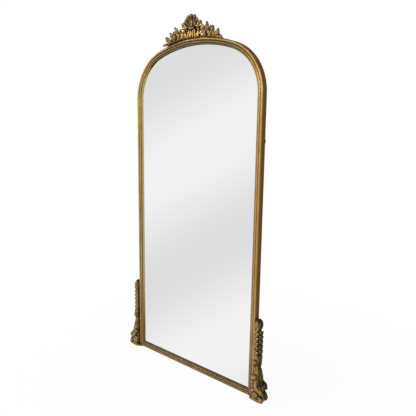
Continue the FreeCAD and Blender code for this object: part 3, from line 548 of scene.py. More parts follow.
def headings(line: np.ndarray) -> np.ndarray:
    """Direction of a line at each of its points."""
    steps = np.diff(line, axis=0)
    return unit(np.vstack([steps[:1], (steps[1:] + steps[:-1]) / 2, steps[-1:]]))


def boxy(wave: np.ndarray, power: float | np.ndarray) -> np.ndarray:
    """A sine or cosine pressed towards a square wave by a power under 1."""
    return np.sign(wave) * np.abs(wave) ** power


def tube_faces(rings: int, around: int) -> list[tuple[int, ...]]:
    """Faces of a closed tube of rings, with a fan over each end.

    Args:
        rings: Rings along the tube.
        around: Points in each ring.

    Returns:
        Faces over rings * around points, then the middles of the first and last ring.
    """
    faces: list[tuple[int, ...]] = []
    for ring in range(rings - 1):
        for step in range(around):
            following = (step + 1) % around
            low, high = ring * around, (ring + 1) * around
            faces.append((low + step, low + following, high + following, high + step))
    first_middle, last_middle = rings * around, rings * around + 1
    last = (rings - 1) * around
    for step in range(around):
        following = (step + 1) % around
        faces.append((following, step, first_middle))
        faces.append((last + step, last + following, last_middle))
    return faces


def tube(rings: np.ndarray) -> Shell:
    """Closed shell through rings of points, shaped (rings, around, 3)."""
    count, around, _ = rings.shape
    middles = np.stack([rings[0].mean(0), rings[-1].mean(0)])
    return np.concatenate([rings.reshape(-1, 3), middles]), tube_faces(count, around)


# Width of a leaf from root to tip, as shares of its length and of its greatest width
POINTED = ((0.0, 0.5), (0.2, 0.84), (0.45, 1.0), (0.7, 0.88), (0.86, 0.62), (0.96, 0.34), (1.0, 0.16))
ROUND = ((0.0, 0.3), (0.25, 0.48), (0.5, 0.74), (0.75, 1.0), (0.88, 0.96), (0.96, 0.74), (1.0, 0.46))
# Fields of a leaf without lobes or flutes
PLAIN = {"lobes": 1, "cut": 0.0, "flute": 0.0}


@dataclass
class Leaf:
    """A carved leaf: lobed and fluted, crowned or cupped, with its tip rolled over to the front."""

    root: np.ndarray
    tip: np.ndarray
    width: float
    face: np.ndarray = field(default_factory=lambda: FRONT)
    bow: float = 0.0
    lean: float = 10.0
    roll: float = 70.0
    lobes: int = 3
    cut: float = 0.2
    crown: float = 0.42
    rib: float = 0.22
    flute: float = 0.1
    thickness: float = 0.34
    outline: Sequence[tuple[float, float]] = POINTED

    # share of the length where the tip begins to roll, and where the roll would be full
    ROLLED = (0.55, 1.05)
    # narrowness of the rib, as a share of the half width
    RIB_WIDTH = 0.17
    # how far the edges run ahead of the middle, as a share of the width
    EDGE_SWEEP = 0.22
    # width of the back as a share of the front's
    BACK_SHARE = 0.94
    # how far the lobes slant to the tip, how full they are, and how far the cuts keep to the edge
    LOBE_SLANT = 0.45
    LOBE_FULLNESS = 0.7
    CUT_POWER = 1.5

    def spine(self, count: int) -> tuple[np.ndarray, np.ndarray, np.ndarray, np.ndarray]:
        """Line of the leaf's middle, with the directions along, across and out of it.

        Args:
            count: Points along the leaf.

        Returns:
            Places, headings, directions across and directions out of the face.
        """
        face = unit(self.face)
        chord = self.tip - self.root
        aside = unit(np.cross(chord, face))
        flat = bezier(self.root, (self.root + self.tip) / 2 + aside * self.bow * np.linalg.norm(chord),
                      self.tip, count)
        heads = headings(flat)
        share = np.linspace(0, 1, count)
        degrees = self.lean * np.sin(share * np.pi * 0.5) + self.roll * ease(share, *self.ROLLED)
        tilt = np.radians(degrees)[:, None]
        length = np.linalg.norm(np.diff(flat, axis=0), axis=1)[:, None]
        along = np.cos(tilt) * heads + np.sin(tilt) * face
        places = np.vstack([flat[:1], flat[:1] + np.cumsum((along[1:] + along[:-1]) / 2 * length, axis=0)])
        across = unit(np.cross(heads, face))
        normals = unit(np.cos(tilt) * face - np.sin(tilt) * heads)
        return places, along, across, normals

    def shell(self, count: int = 36, around: int = 13) -> Shell:
        """Closed shell of the leaf.

        Args:
            count: Sections along the leaf.
            around: Points across each side of a section.

        Returns:
            The shell's points and faces.
        """
        places, along, across, normals = self.spine(count)
        share = np.linspace(0, 1, count)[:, None]
        side = np.linspace(-1, 1, around)[None, :]
        outline = np.interp(share, *zip(*self.outline))
        wave = np.sin(np.pi * (self.lobes * share - self.LOBE_SLANT * np.abs(side)))
        beat = np.abs(wave) ** self.LOBE_FULLNESS
        spread = self.width / 2 * outline * (1 - self.cut * (1 - beat) * np.abs(side) ** self.CUT_POWER)
        swell = self.width / 2 * outline
        height = swell * (self.crown * (1 - side ** 2) + self.rib * np.exp(-(side / self.RIB_WIDTH) ** 2)
                          + self.flute * (beat - 0.6) * np.abs(side))
        sweep = self.EDGE_SWEEP * self.width * np.abs(side) * outline
        depth = self.width * self.thickness * (0.35 + 0.65 * outline) * (1 - 0.75 * side ** 2)

        def lay(out: np.ndarray, spread_share: float) -> np.ndarray:
            """Points of one side, at a height out of the leaf and a share of its spread."""
            return (places[:, None, :] + across[:, None, :] * (spread * side * spread_share)[..., None]
                    + along[:, None, :] * sweep[..., None] + normals[:, None, :] * out[..., None])

        front = lay(height, 1.0)
        back = lay(np.minimum(height, 0) - depth, self.BACK_SHARE)[:, ::-1]
        return tube(np.concatenate([front, back], axis=1))


@dataclass
class Scroll:
    """A carved band that follows a line and winds up in a volute, with a channel down its face."""

    line: np.ndarray
    start_radius: float
    end_radius: float
    channel: float = 0.32
    flat: float = 0.8

    # half of the angle that the channel takes up, in radians
    CHANNEL_ANGLE = 0.5

    @staticmethod
    def spiral(centre: np.ndarray, radius: float, eye: float, start: float, turn: float,
               aside: np.ndarray = RIGHT) -> np.ndarray:
        """Line that winds in about a centre in an upright plane.

        Args:
            centre: Eye of the spiral.
            radius: Distance from the eye at the start.
            eye: Distance from the eye at the end.
            start: Angle of the start in degrees, from aside towards up.
            turn: Angle to go, in degrees, negative for the other way.
            aside: Level direction of the spiral's plane.

        Returns:
            Points along the spiral.
        """
        degrees_a_step, fewest = 9, 8
        count = max(int(abs(turn) / degrees_a_step), fewest)
        share = np.linspace(0, 1, count)[:, None]
        angle = np.radians(start + turn * share)
        reach = radius * (eye / radius) ** share
        return centre + reach * (np.cos(angle) * aside + np.sin(angle) * UP)

    def shell(self, face: np.ndarray = FRONT, around: int = 16) -> Shell:
        """Closed shell of the band.

        Args:
            face: Direction that its channel looks to.
            around: Points round the band.

        Returns:
            The shell's points and faces.
        """
        heads = headings(self.line)
        aside = unit(np.cross(heads, unit(face)))
        out = unit(np.cross(aside, heads))
        out *= np.sign(np.sum(out * face, axis=1, keepdims=True))
        share = np.linspace(0, 1, len(self.line))[:, None]
        radius = self.start_radius + (self.end_radius - self.start_radius) * share
        angle = np.linspace(0, 2 * np.pi, around, endpoint=False)[None, :]
        dip = 1 - self.channel * np.exp(-((angle - np.pi / 2) / self.CHANNEL_ANGLE) ** 2)
        rings = (self.line[:, None, :]
                 + (radius * np.cos(angle))[..., None] * aside[:, None, :]
                 + (radius * self.flat * np.sin(angle) * dip)[..., None] * out[:, None, :])
        return tube(rings)


def ball(centre: np.ndarray, radii: float | tuple[float, float, float]) -> Shell:
    """Closed ball, or an egg with a radius along each axis."""
    rings, around, cap = 12, 20, 0.03
    turn = np.linspace(cap * np.pi, (1 - cap) * np.pi, rings)[:, None]
    angle = np.linspace(0, 2 * np.pi, around, endpoint=False)[None, :]
    axes = (np.sin(turn) * np.cos(angle), np.cos(turn) + 0 * angle, np.sin(turn) * np.sin(angle))
    return tube(centre + np.stack(axes, axis=-1) * np.array(radii))


def plate(outline: np.ndarray, front: float, back: float) -> Shell:
    """Upright plate with a rounded outline.

    Args:
        outline: Corners as (x, z), joined by a smooth closed curve.
        front: Depth of its front face.
        back: Depth of its back face.

    Returns:
        The plate's points and faces.
    """
    share = np.linspace(0, 1, 6, endpoint=False)[:, None]
    curve = []
    for index in range(len(outline)):
        before, start, end, after = (outline[(index + step) % len(outline)] for step in (-1, 0, 1, 2))
        curve.append(0.5 * (2 * start + (end - before) * share
                            + (2 * before - 5 * start + 4 * end - after) * share ** 2
                            + (3 * start - before - 3 * end + after) * share ** 3))
    edge = np.concatenate(curve)
    rings = [np.stack([edge[:, 0], np.full(len(edge), depth), edge[:, 1]], axis=1) for depth in (front, back)]
    return tube(np.stack(rings))


class Relief:
    """Closed shells that are fused into one carved piece."""

    def __init__(self, name: str, voxel: float) -> None:
        """Starts an empty relief.

        Args:
            name: Name of the finished piece.
            voxel: Size of the grid that the shells are fused on.
        """
        self.name = name
        self.voxel = voxel
        self.shells: list[Shell] = []

    def add(self, *shells: Shell) -> None:
        """Adds shells to the relief."""
        self.shells.extend(shells)

    def fuse(self, trim: Callable[[np.ndarray], np.ndarray]) -> bpy.types.Object:
        """Joins the shells into one skin.

        Args:
            trim: Moves points clear of the pieces that the relief sits on.

        Returns:
            The fused piece.
        """
        points, faces, offset = [], [], 0
        for places, polygons in self.shells:
            points.append(places)
            faces.extend(tuple(corner + offset for corner in polygon) for polygon in polygons)
            offset += len(places)
        mesh = bpy.data.meshes.new(self.name)
        mesh.from_pydata(np.concatenate(points).tolist(), [], faces)
        thing = new_object(self.name, mesh)
        remesh = thing.modifiers.new("Fuse", "REMESH")
        remesh.mode = "VOXEL"
        remesh.voxel_size = self.voxel
        smooth = thing.modifiers.new("Ease", "SMOOTH")
        smooth.factor = 0.5
        smooth.iterations = 2
        fused = settled(thing)
        write_points(fused, trim(read_vertices(fused)))
        outward(fused)
        fused.shade_smooth()
        return thing


def neighbour_mean(places: np.ndarray, edges: np.ndarray, rounds: int) -> np.ndarray:
    """Places of points after each moves to the middle of its neighbours, some rounds over."""
    first, second = edges[:, 0], edges[:, 1]
    size = len(places)
    count = np.maximum(np.bincount(edges.ravel(), minlength=size), 1)
    for _ in range(rounds):
        total = [np.bincount(first, column[second], size) + np.bincount(second, column[first], size)
                 for column in places.T]
        places = (places + np.stack(total, axis=1) / count[:, None]) / 2
    return places


# Depths between which carving counts as sunk and takes dark wash with painted shade, and between which a hand
# or cloth stops reaching it and painted highlights stop
SUNK = (1.5 * MM, 7.5 * MM)
OUT_OF_REACH = (1 * MM, 6 * MM)
# How far the carving bends in or out of what lies round it, from not counted to fully counted; creases take
# dark wash with painted shade, ridges rubbing with painted highlights
BROAD_CREASE = (0.3 * MM, 1.8 * MM)
FINE_CREASE = (0.05 * MM, 0.3 * MM)
BROAD_RIDGE = (0.35 * MM, 1.9 * MM)
FINE_RIDGE = (0.06 * MM, 0.35 * MM)
# Rounds of smoothing after which those bends show
FINE_ROUNDS, BROAD_ROUNDS = 4, 40
# How far a face looks to the side that it was cut from, from turned away to plain in view; faces turned away
# take painted shade
IN_VIEW = (0.1, 0.6)
# Share of empty squares round a point, from inside a leaf to its tip; the tips take painted shade
TIP_EMPTY = (0.2, 0.46)
# How far a face looks up, from no painted shade to full painted shade
UPWARD_SHADING = (0.25, 0.9)


def upward_shade(mesh: bpy.types.Mesh) -> np.ndarray:
    """How much painted shade each vertex takes for facing upwards, from 0 to 1."""
    return ease(read_vertices(mesh, "normal")[:, 2], *UPWARD_SHADING)


def squares(across: np.ndarray, cell: float, reach: int) -> tuple[tuple, tuple, list[tuple[int, int]]]:
    """Sorts points into squares.

    Args:
        across: Points in two directions.
        cell: Side of a square.
        reach: How many squares round a point count.

    Returns:
        Indices of the points' squares, size of the whole grid, and steps to the squares that count.
    """
    spot = np.floor((across - across.min(0)) / cell).astype(int) + reach
    span = range(-reach, reach + 1)
    steps = [(first, second) for first in span for second in span if first ** 2 + second ** 2 <= reach ** 2]
    return (spot[:, 0], spot[:, 1]), tuple(spot.max(0) + reach + 1), steps


def depth_below(places: np.ndarray, facing: np.ndarray, cell: float = 1.5 * MM, reach: int = 5) -> np.ndarray:
    """How deep each point lies below the highest carving round it, seen from one side.

    Args:
        places: Points of the carving.
        facing: Level direction towards the viewer.
        cell: Side of the squares that the carving is sorted into.
        reach: How many squares round a point count.

    Returns:
        One depth for each point.
    """
    height = places @ facing
    across = np.delete(places, int(np.argmax(np.abs(facing))), axis=1)
    spot, size, steps = squares(across, cell, reach)
    grid = np.full(size, height.min())
    np.maximum.at(grid, spot, height)
    highest = np.max([np.roll(grid, step, (0, 1)) for step in steps], axis=0)
    return highest[spot] - height


def tips(places: np.ndarray, cell: float = 2.5 * MM, reach: int = 5) -> np.ndarray:
    """How far each point stands out at the tip of a leaf, seen from the front, from 0 to 1.

    Args:
        places: Points of the carving.
        cell: Side of the squares that the carving is sorted into.
        reach: How many squares round a point count.

    Returns:
        One number for each point, from the share of empty squares round it.
    """
    spot, size, steps = squares(places[:, [0, 2]], cell, reach)
    filled = np.zeros(size)
    filled[spot] = 1
    share = np.mean([np.roll(filled, step, (0, 1)) for step in steps], axis=0)
    return ease(1 - share[spot], *TIP_EMPTY)


def weather_and_light(mesh: bpy.types.Mesh, sides: Sequence[np.ndarray], painted_from: float,
            wash_and_shade_share: np.ndarray | float = 1.0, tip_shade: np.ndarray | float = 0.0) -> None:
    """Finds where dark wash and painted shade lie, where a hand or cloth rubs and painted highlights lie, and
    what is painted, and stores it on the mesh.

    Args:
        mesh: A carved mesh of even faces.
        sides: Directions from which the carving was cut.
        painted_from: Depth behind which the carving is painted and not gilt.
        wash_and_shade_share: Share of the dark wash and painted shade that is kept at each vertex.
        tip_shade: Painted shade at each vertex as the tip of a leaf.
    """
    places = read_vertices(mesh)
    edges = np.zeros(len(mesh.edges) * 2, np.int32)
    mesh.edges.foreach_get("vertices", edges)
    edges = edges.reshape(-1, 2)
    normals = read_vertices(mesh, "normal")
    fine, broad = (np.sum((neighbour_mean(places, edges, rounds) - places) * normals, axis=1)
                   for rounds in (FINE_ROUNDS, BROAD_ROUNDS))
    depth = np.min([depth_below(places, side) for side in sides], axis=0)
    # sunk places and creases take dark wash together with painted shade
    sunk = ease(depth, *SUNK) * 0.95
    creased = ease(broad, *BROAD_CREASE) * 0.8 + 0.5 * ease(fine, *FINE_CREASE)
    # raised carving is rubbed pale, together with a painted highlight
    raised = ease(-broad, *BROAD_RIDGE) * 0.9 + 0.4 * ease(-fine, *FINE_RIDGE)
    # upward faces take painted shade, which also keeps rubbing and painted highlights off them
    dull = 0.7 * upward_shade(mesh)
    # faces turned away from the front take painted shade
    turned = 0.75 * (1 - ease(np.max([normals @ side for side in sides], axis=0), *IN_VIEW))
    hollow = np.max([np.maximum(creased, sunk) + 0.3 * creased * sunk, dull, turned], axis=0)
    behind = ease(places[:, 1], painted_from, painted_from + 1 * MM)
    # the tips of leaves take painted shade in place of wash, rubbing and paint
    store(mesh, WearAndLight.HOLLOW.value, np.maximum(np.clip(hollow, 0, 1) * (1 - behind), tip_shade) * wash_and_shade_share)
    kept = (1 - ease(depth, *OUT_OF_REACH)) * (1 - dull) * (1 - behind) * (1 - tip_shade)
    store(mesh, WearAndLight.RUB.value, np.clip(raised, 0, 1) * kept)
    store(mesh, WearAndLight.BARE.value, behind * (1 - tip_shade) * 0.95)


def mirror_twin(source: bpy.types.Object, name: str) -> bpy.types.Object:
    """The left-hand twin of a right-hand piece.

    Args:
        source: The right-hand piece.
        name: Name of the twin.

    Returns:
        The twin, with its faces pointing outwards.
    """
    mesh = source.data.copy()
    places = read_vertices(mesh)
    places[:, 0] *= -1
    write_points(mesh, places)
    mesh.flip_normals()
    return new_object(name, mesh)


@dataclass
class Arch:
    """Sight line of the frame: two stiles, two shoulders, a crown and a bottom rail."""

    shoulder_radius: float = 0.226
    crown_radius: float = 0.756
    half: float = field(init=False)
    width: float = field(init=False)
    front: float = field(init=False)
    back: float = field(init=False)
    foot: float = field(init=False)
    springing: float = field(init=False)

    def __post_init__(self) -> None:
        """Reads the frame's outline from its nodes."""
        low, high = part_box("right_stile")
        self.half, self.width = low.x, high.x - low.x
        self.front, self.back = low.y, high.y
        self.foot, self.springing = low.z, high.z

    @property
    def shoulder_centre(self) -> float:
        """Distance of a shoulder's centre from the middle."""
        return self.half - self.shoulder_radius

    @property
    def crown_centre(self) -> float:
        """Height of the crown's centre."""
        span = self.crown_radius - self.shoulder_radius
        return self.springing - math.sqrt(span ** 2 - self.shoulder_centre ** 2)

    @property
    def crown_half_angle(self) -> float:
        """Angle from upright to the end of the crown, in radians."""
        return math.asin(self.shoulder_centre / (self.crown_radius - self.shoulder_radius))

    @property
    def outer_radius(self) -> float:
        """Radius of the crown's outer edge."""
        return self.crown_radius + self.width

    def top(self, x: float) -> float:
        """Height of the arch's outer edge at a distance from the middle."""
        return self.crown_centre + math.sqrt(self.outer_radius ** 2 - x ** 2)


class Run(Enum):
    """How a length of moulding runs."""

    STRAIGHT = "straight"
    ARC = "arc"


def geometry_tree(name: str, inputs: dict[str, str]) -> tuple[Nodes, dict[str, Wire]]:
    """Starts a Geometry Nodes tree with named inputs.

    Args:
        name: The tree's name.
        inputs: Socket type of each input, by name.

    Returns:
        The tree's nodes and a wire from each input.
    """
    tree = bpy.data.node_groups.new(name, "GeometryNodeTree")
    tree.interface.new_socket(name="Geometry", in_out="OUTPUT", socket_type="NodeSocketGeometry")
    for label, kind in inputs.items():
        tree.interface.new_socket(name=label, in_out="INPUT", socket_type=kind)
    nodes = Nodes(tree)
    entry = nodes.add("NodeGroupInput")
    return nodes, {label: Wire(nodes, entry.outputs[label]) for label in inputs}


def grow(name: str, nodes: Nodes, values: dict, base: bpy.types.Mesh | None = None) -> bpy.types.Object:
    """Runs a Geometry Nodes tree and keeps what it makes as a plain mesh.

    Args:
        name: Name of the new object.
        nodes: The tree.
        values: Values of its inputs, by name.
        base: Mesh that the tree starts from, where it reads one.

    Returns:
        An object at the origin with the finished mesh.
    """
    thing = new_object(name, base or bpy.data.meshes.new(name))
    modifier = thing.modifiers.new("Grow", "NODES")
    modifier.node_group = nodes.tree
    for item in nodes.tree.interface.items_tree:
        if item.in_out == "INPUT" and item.name in values:
            modifier[item.identifier] = values[item.name]
    settled(thing)
    return thing


@dataclass
class Moulding:
    """The frame's gilt moulding: a lip, a bead and a torus between quirks, rebated behind."""

    arch: Arch
    finish: bpy.types.Material
    lip_width: float = 7 * MM
    lip_crest: float = 6.5 * MM
    lip_rise: float = 1.9 * MM
    bead_width: float = 10 * MM
    bead_crest: float = 2.5 * MM
    bead_rise: float = 3.6 * MM
    torus_rise: float = 5.4 * MM
    quirk: float = 1.5 * MM
    inner_quirk: float = 10.5 * MM
    outer_quirk: float = 9.5 * MM
    rail_inner_quirk: float = 8.5 * MM
    rail_outer_quirk: float = 6.3 * MM
    sight_depth: float = 14 * MM
    panel_seat: float = 20 * MM
    glass_rebate: float = 8 * MM
    panel_rebate: float = 18 * MM
    rail_setback: float = 1.5 * MM
    step_length: float = 6 * MM

    def ridge(self, start: float, width: float, crest: float, rise: float,
              count: int) -> list[tuple[float, float]]:
        """Arc of one ridge in section, from its inner foot to its outer foot.

        Args:
            start: Distance of the inner foot from the sight edge.
            width: Width between the feet.
            crest: Depth of its highest line.
            rise: Height of that line above the feet.
            count: Points on the arc.

        Returns:
            Points as (distance from the sight edge, depth).
        """
        radius = (width ** 2 / 4 + rise ** 2) / (2 * rise)
        half = math.asin(min(width / 2 / radius, 1))
        if rise > radius:
            half = math.pi - half
        angles = np.linspace(-half, half, count)
        return [(start + width / 2 + radius * math.sin(angle), crest + radius - radius * math.cos(angle))
                for angle in angles]

    def section(self, setback: float) -> list[tuple[float, float]]:
        """Closed section of the moulding.

        Args:
            setback: How far the carved front lies behind that of the stiles.

        Returns:
            Points as (distance from the sight edge, depth behind the frame's front).
        """
        bead_start = self.lip_width + self.quirk
        torus_start = bead_start + self.bead_width + self.quirk
        inner_quirk = self.rail_inner_quirk if setback else self.inner_quirk
        outer_quirk = self.rail_outer_quirk if setback else self.outer_quirk
        front = [
            *self.ridge(0, self.lip_width, self.lip_crest, self.lip_rise, 9),
            (self.lip_width, inner_quirk),
            (bead_start, inner_quirk),
            *self.ridge(bead_start, self.bead_width, self.bead_crest, self.bead_rise, 15),
            (bead_start + self.bead_width, outer_quirk),
            (torus_start, outer_quirk),
            *self.ridge(torus_start, self.arch.width - torus_start, 0, self.torus_rise, 19),
        ]
        depth = self.arch.back - self.arch.front
        rear = [
            (self.arch.width, depth),
            (self.panel_rebate, depth),
            (self.panel_rebate, self.panel_seat),
            (self.glass_rebate, self.panel_seat),
            (self.glass_rebate, self.sight_depth),
            (0, self.sight_depth),
        ]
        return [(out, deep + setback) for out, deep in front] + rear

    def section_curve(self, setback: float) -> bpy.types.Object:
        """The section as a closed curve, across in x and deep in y."""
        points = [(out, self.arch.front + deep, 0, 1) for out, deep in self.section(setback)]
        curve = bpy.data.curves.new("section", "CURVE")
        spline = curve.splines.new("POLY")
        spline.points.add(len(points) - 1)
        for point, place in zip(spline.points, points):
            point.co = place
        spline.use_cyclic_u = True
        return new_object("section", curve)

    def sweep_tree(self, run: Run) -> Nodes:
        """Tree that sweeps a section along a line or an arc and stands the result upright.

        Args:
            run: How the length runs.

        Returns:
            The tree's nodes.
        """
        sizes = {Run.STRAIGHT: {"Start": "NodeSocketVector", "End": "NodeSocketVector"},
                 Run.ARC: {"Centre": "NodeSocketVector", "Radius": "NodeSocketFloat",
                           "Start Angle": "NodeSocketFloat", "Sweep": "NodeSocketFloat"}}[run]
        nodes, given = geometry_tree(f"moulding_{run.value}", {
            **sizes, "Steps": "NodeSocketInt", "Section": "NodeSocketObject", "Finish": "NodeSocketMaterial"})
        if run is Run.STRAIGHT:
            ends = {name: given[name] for name in ("Start", "End")}
            line = nodes.wire("GeometryNodeCurvePrimitiveLine", None, ends)
            line = nodes.wire("GeometryNodeResampleCurve", None, {"Curve": line, "Count": given["Steps"]})
        else:
            line = nodes.wire("GeometryNodeCurveArc", {"mode": "RADIUS"}, {
                "Resolution": given["Steps"], "Radius": given["Radius"], "Start Angle": given["Start Angle"],
                "Sweep Angle": given["Sweep"]})
            line = nodes.wire("GeometryNodeTransform", None,
                              {"Geometry": line, "Translation": given["Centre"]})
        line = nodes.wire("GeometryNodeSetCurveNormal", {"mode": "Z_UP"}, {"Curve": line})
        section = nodes.wire("GeometryNodeObjectInfo", None, {"Object": given["Section"]}, "Geometry")
        spot = nodes.wire("GeometryNodeInputPosition")
        for axis, name in (("X", "out"), ("Y", "deep")):
            number = nodes.wire("ShaderNodeSeparateXYZ", None, {"Vector": spot}, axis)
            section = nodes.wire("GeometryNodeStoreNamedAttribute", {"data_type": "FLOAT", "domain": "POINT"},
                                 {"Geometry": section, "Name": name, "Value": number})
        swept = nodes.wire("GeometryNodeCurveToMesh", None,
                           {"Curve": line, "Profile Curve": section, "Fill Caps": True})
        upright = nodes.wire("GeometryNodeTransform", None,
                             {"Geometry": swept, "Rotation": (math.pi / 2, 0, 0)})
        nodes.give(upright, given["Finish"])
        return nodes

    # painted shade on the bottom rail, towards the crown and towards the stiles' feet, which also dulls the
    # gilding, from 0 to 1
    RAIL_SHADE = 0.66
    CROWN_SHADE = 0.72
    FOOT_SHADE = 0.5
    # heights over which the painted shade on the stiles' feet fades, so that they brighten
    FOOT_FADE = (100 * MM, 700 * MM)
    # depths below the front between which the dark wash and painted shade deepen, and between which the
    # gilding stops
    WASH_AND_SHADE_DEPTHS = (5.2 * MM, 9 * MM)
    UNGILT = (11 * MM, 13 * MM)
    # heights against the front between which a ridge is rubbed and takes a painted highlight
    RUBBED_AND_HIGHLIT = (-3.6 * MM, -0.4 * MM)
    # distances from the sight edge over which its wall takes a painted highlight, or a painted shadow where
    # the painted shade is strong
    BRIGHT_WALL = (0.2 * MM, 0.9 * MM)
    DARK_WALL = (1.5 * MM, 4.5 * MM)
    # painted shade between which the wall's painted highlight turns into painted shadow
    DARKENED = (0.35, 0.6)
    # distances from the outer edge between which the painted side begins; its dark brown paint also stands in
    # for the shade on that side
    PAINTED_SIDE = (1.2 * MM, 0.2 * MM)

    def painted_shade(self, mesh: bpy.types.Mesh, setback: float) -> np.ndarray:
        """Painted shade at each vertex: even along the rail, and more towards the crown and the feet."""
        if setback:
            return np.full(len(mesh.vertices), self.RAIL_SHADE)
        z = read_vertices(mesh)[:, 2]
        top = self.arch.top(0.0) - self.arch.width
        crown = self.CROWN_SHADE * ease(z, self.arch.springing, top)
        return np.maximum(crown, self.FOOT_SHADE * (1 - ease(z, *self.FOOT_FADE)))

    def wear_and_light(self, mesh: bpy.types.Mesh, setback: float) -> None:
        """Stores where the moulding takes dark wash with painted shade, rubbing with painted highlights, and
        where it is left ungilt.

        Args:
            mesh: A swept length of moulding.
            setback: How far its front lies behind that of the stiles.
        """
        painted_shade = self.painted_shade(mesh, setback)
        numbers = {}
        for name in ("out", "deep"):
            numbers[name] = np.zeros(len(mesh.vertices), np.float32)
            mesh.attributes[name].data.foreach_get("value", numbers[name])
        out = numbers["out"]
        deep = numbers["deep"] - self.arch.front - setback
        torus_start = self.lip_width + self.bead_width + 2 * self.quirk
        # quirks take dark wash together with painted shade
        wash_and_shade_share = ease(deep, *self.WASH_AND_SHADE_DEPTHS) * (0.4 if setback else 1.0)
        hollow = np.maximum(wash_and_shade_share, (out > torus_start) * 0.2)
        # ridges are rubbed pale, together with a painted highlight
        ridge = ease(-deep, *self.RUBBED_AND_HIGHLIT)
        rub = ridge * np.where(out > torus_start, 0.08, 0.85)
        # the sight edge's wall takes a painted highlight, or a wider painted shadow where the painted shade
        # is strong
        wall = 1 - ease(out, *self.BRIGHT_WALL)
        dark = ease(painted_shade, *self.DARKENED)
        bright_wall = wall * (1 - dark)
        dark_wall = (1 - ease(out, *self.DARK_WALL)) * dark
        # upward faces take painted shade, and the wall's painted highlight stays clear of it
        hollow = np.maximum(hollow, upward_shade(mesh) * 0.5) * (1 - bright_wall)
        # painted shade along the rail, towards the crown and towards the feet, spared a little on the ridges
        spared = 0.0 if setback else 0.3 * ridge
        hollow = np.max([hollow, painted_shade * (1 - spared), dark_wall * 0.9], axis=0)
        rub = np.maximum(rub * (1 - upward_shade(mesh)), bright_wall) * (1 - dark_wall) * (1 - painted_shade)
        # the outer side is painted dark brown, which also stands in for the shade on that side
        side = ease(out, *(self.arch.width - edge for edge in self.PAINTED_SIDE))
        behind = ease(deep, *self.UNGILT)
        store(mesh, WearAndLight.HOLLOW.value, hollow * (1 - side))
        store(mesh, WearAndLight.RUB.value, rub * (1 - side))
        store(mesh, WearAndLight.BARE.value, np.maximum(behind * (1 - wall), side * 0.9))
        for name in ("out", "deep"):
            mesh.attributes.remove(mesh.attributes[name])

    def build(self) -> None:
        """Sweeps the six lengths of the frame and hands them over."""
        arch = self.arch
        trees = {run: self.sweep_tree(run) for run in Run}
        turn = math.pi / 2 - arch.crown_half_angle
        foot = arch.foot + arch.width
        rail_end = arch.half + self.lip_width
        straight = {
            "right_stile": ((arch.half, arch.foot, 0), (arch.half, arch.springing, 0), 0.0),
            "left_stile": ((-arch.half, arch.springing, 0), (-arch.half, arch.foot, 0), 0.0),
            "bottom_rail": ((-rail_end, foot, 0), (rail_end, foot, 0), self.rail_setback),
        }
        shoulder, bend = arch.shoulder_centre, arch.shoulder_radius
        arcs = {
            "right_shoulder": (shoulder, arch.springing, bend, 0.0, turn),
            "crown_rail": (0.0, arch.crown_centre, arch.crown_radius, turn, 2 * arch.crown_half_angle),
            "left_shoulder": (-shoulder, arch.springing, bend, math.pi - turn, turn),
        }
        for node, (start, end, setback) in straight.items():
            length = math.dist(start, end)
            self.finish_run(node, trees[Run.STRAIGHT], setback,
                            {"Start": start, "End": end, "Steps": int(length / self.step_length)})
        for node, (x, z, radius, start_angle, sweep) in arcs.items():
            self.finish_run(node, trees[Run.ARC], 0.0, {
                "Centre": (x, z, 0), "Radius": radius, "Start Angle": start_angle, "Sweep": sweep,
                "Steps": int(radius * sweep / self.step_length) + 8})

    def finish_run(self, node: str, tree: Nodes, setback: float, sizes: dict) -> None:
        """Makes one length of moulding.

        Args:
            node: CAD node that it stands for.
            tree: Tree that sweeps it.
            setback: How far its front lies behind that of the stiles.
            sizes: Values of the tree's inputs for its run.
        """
        section = self.section_curve(setback)
        thing = grow(f"gilt_{node}", tree, {**sizes, "Section": section, "Finish": self.finish})
        bpy.data.objects.remove(section)
        outward(thing.data)
        self.wear_and_light(thing.data, setback)
        thing.data.shade_smooth()
        thing.data.set_sharp_from_angle(angle=math.radians(38))
        hand_over(thing, [node])


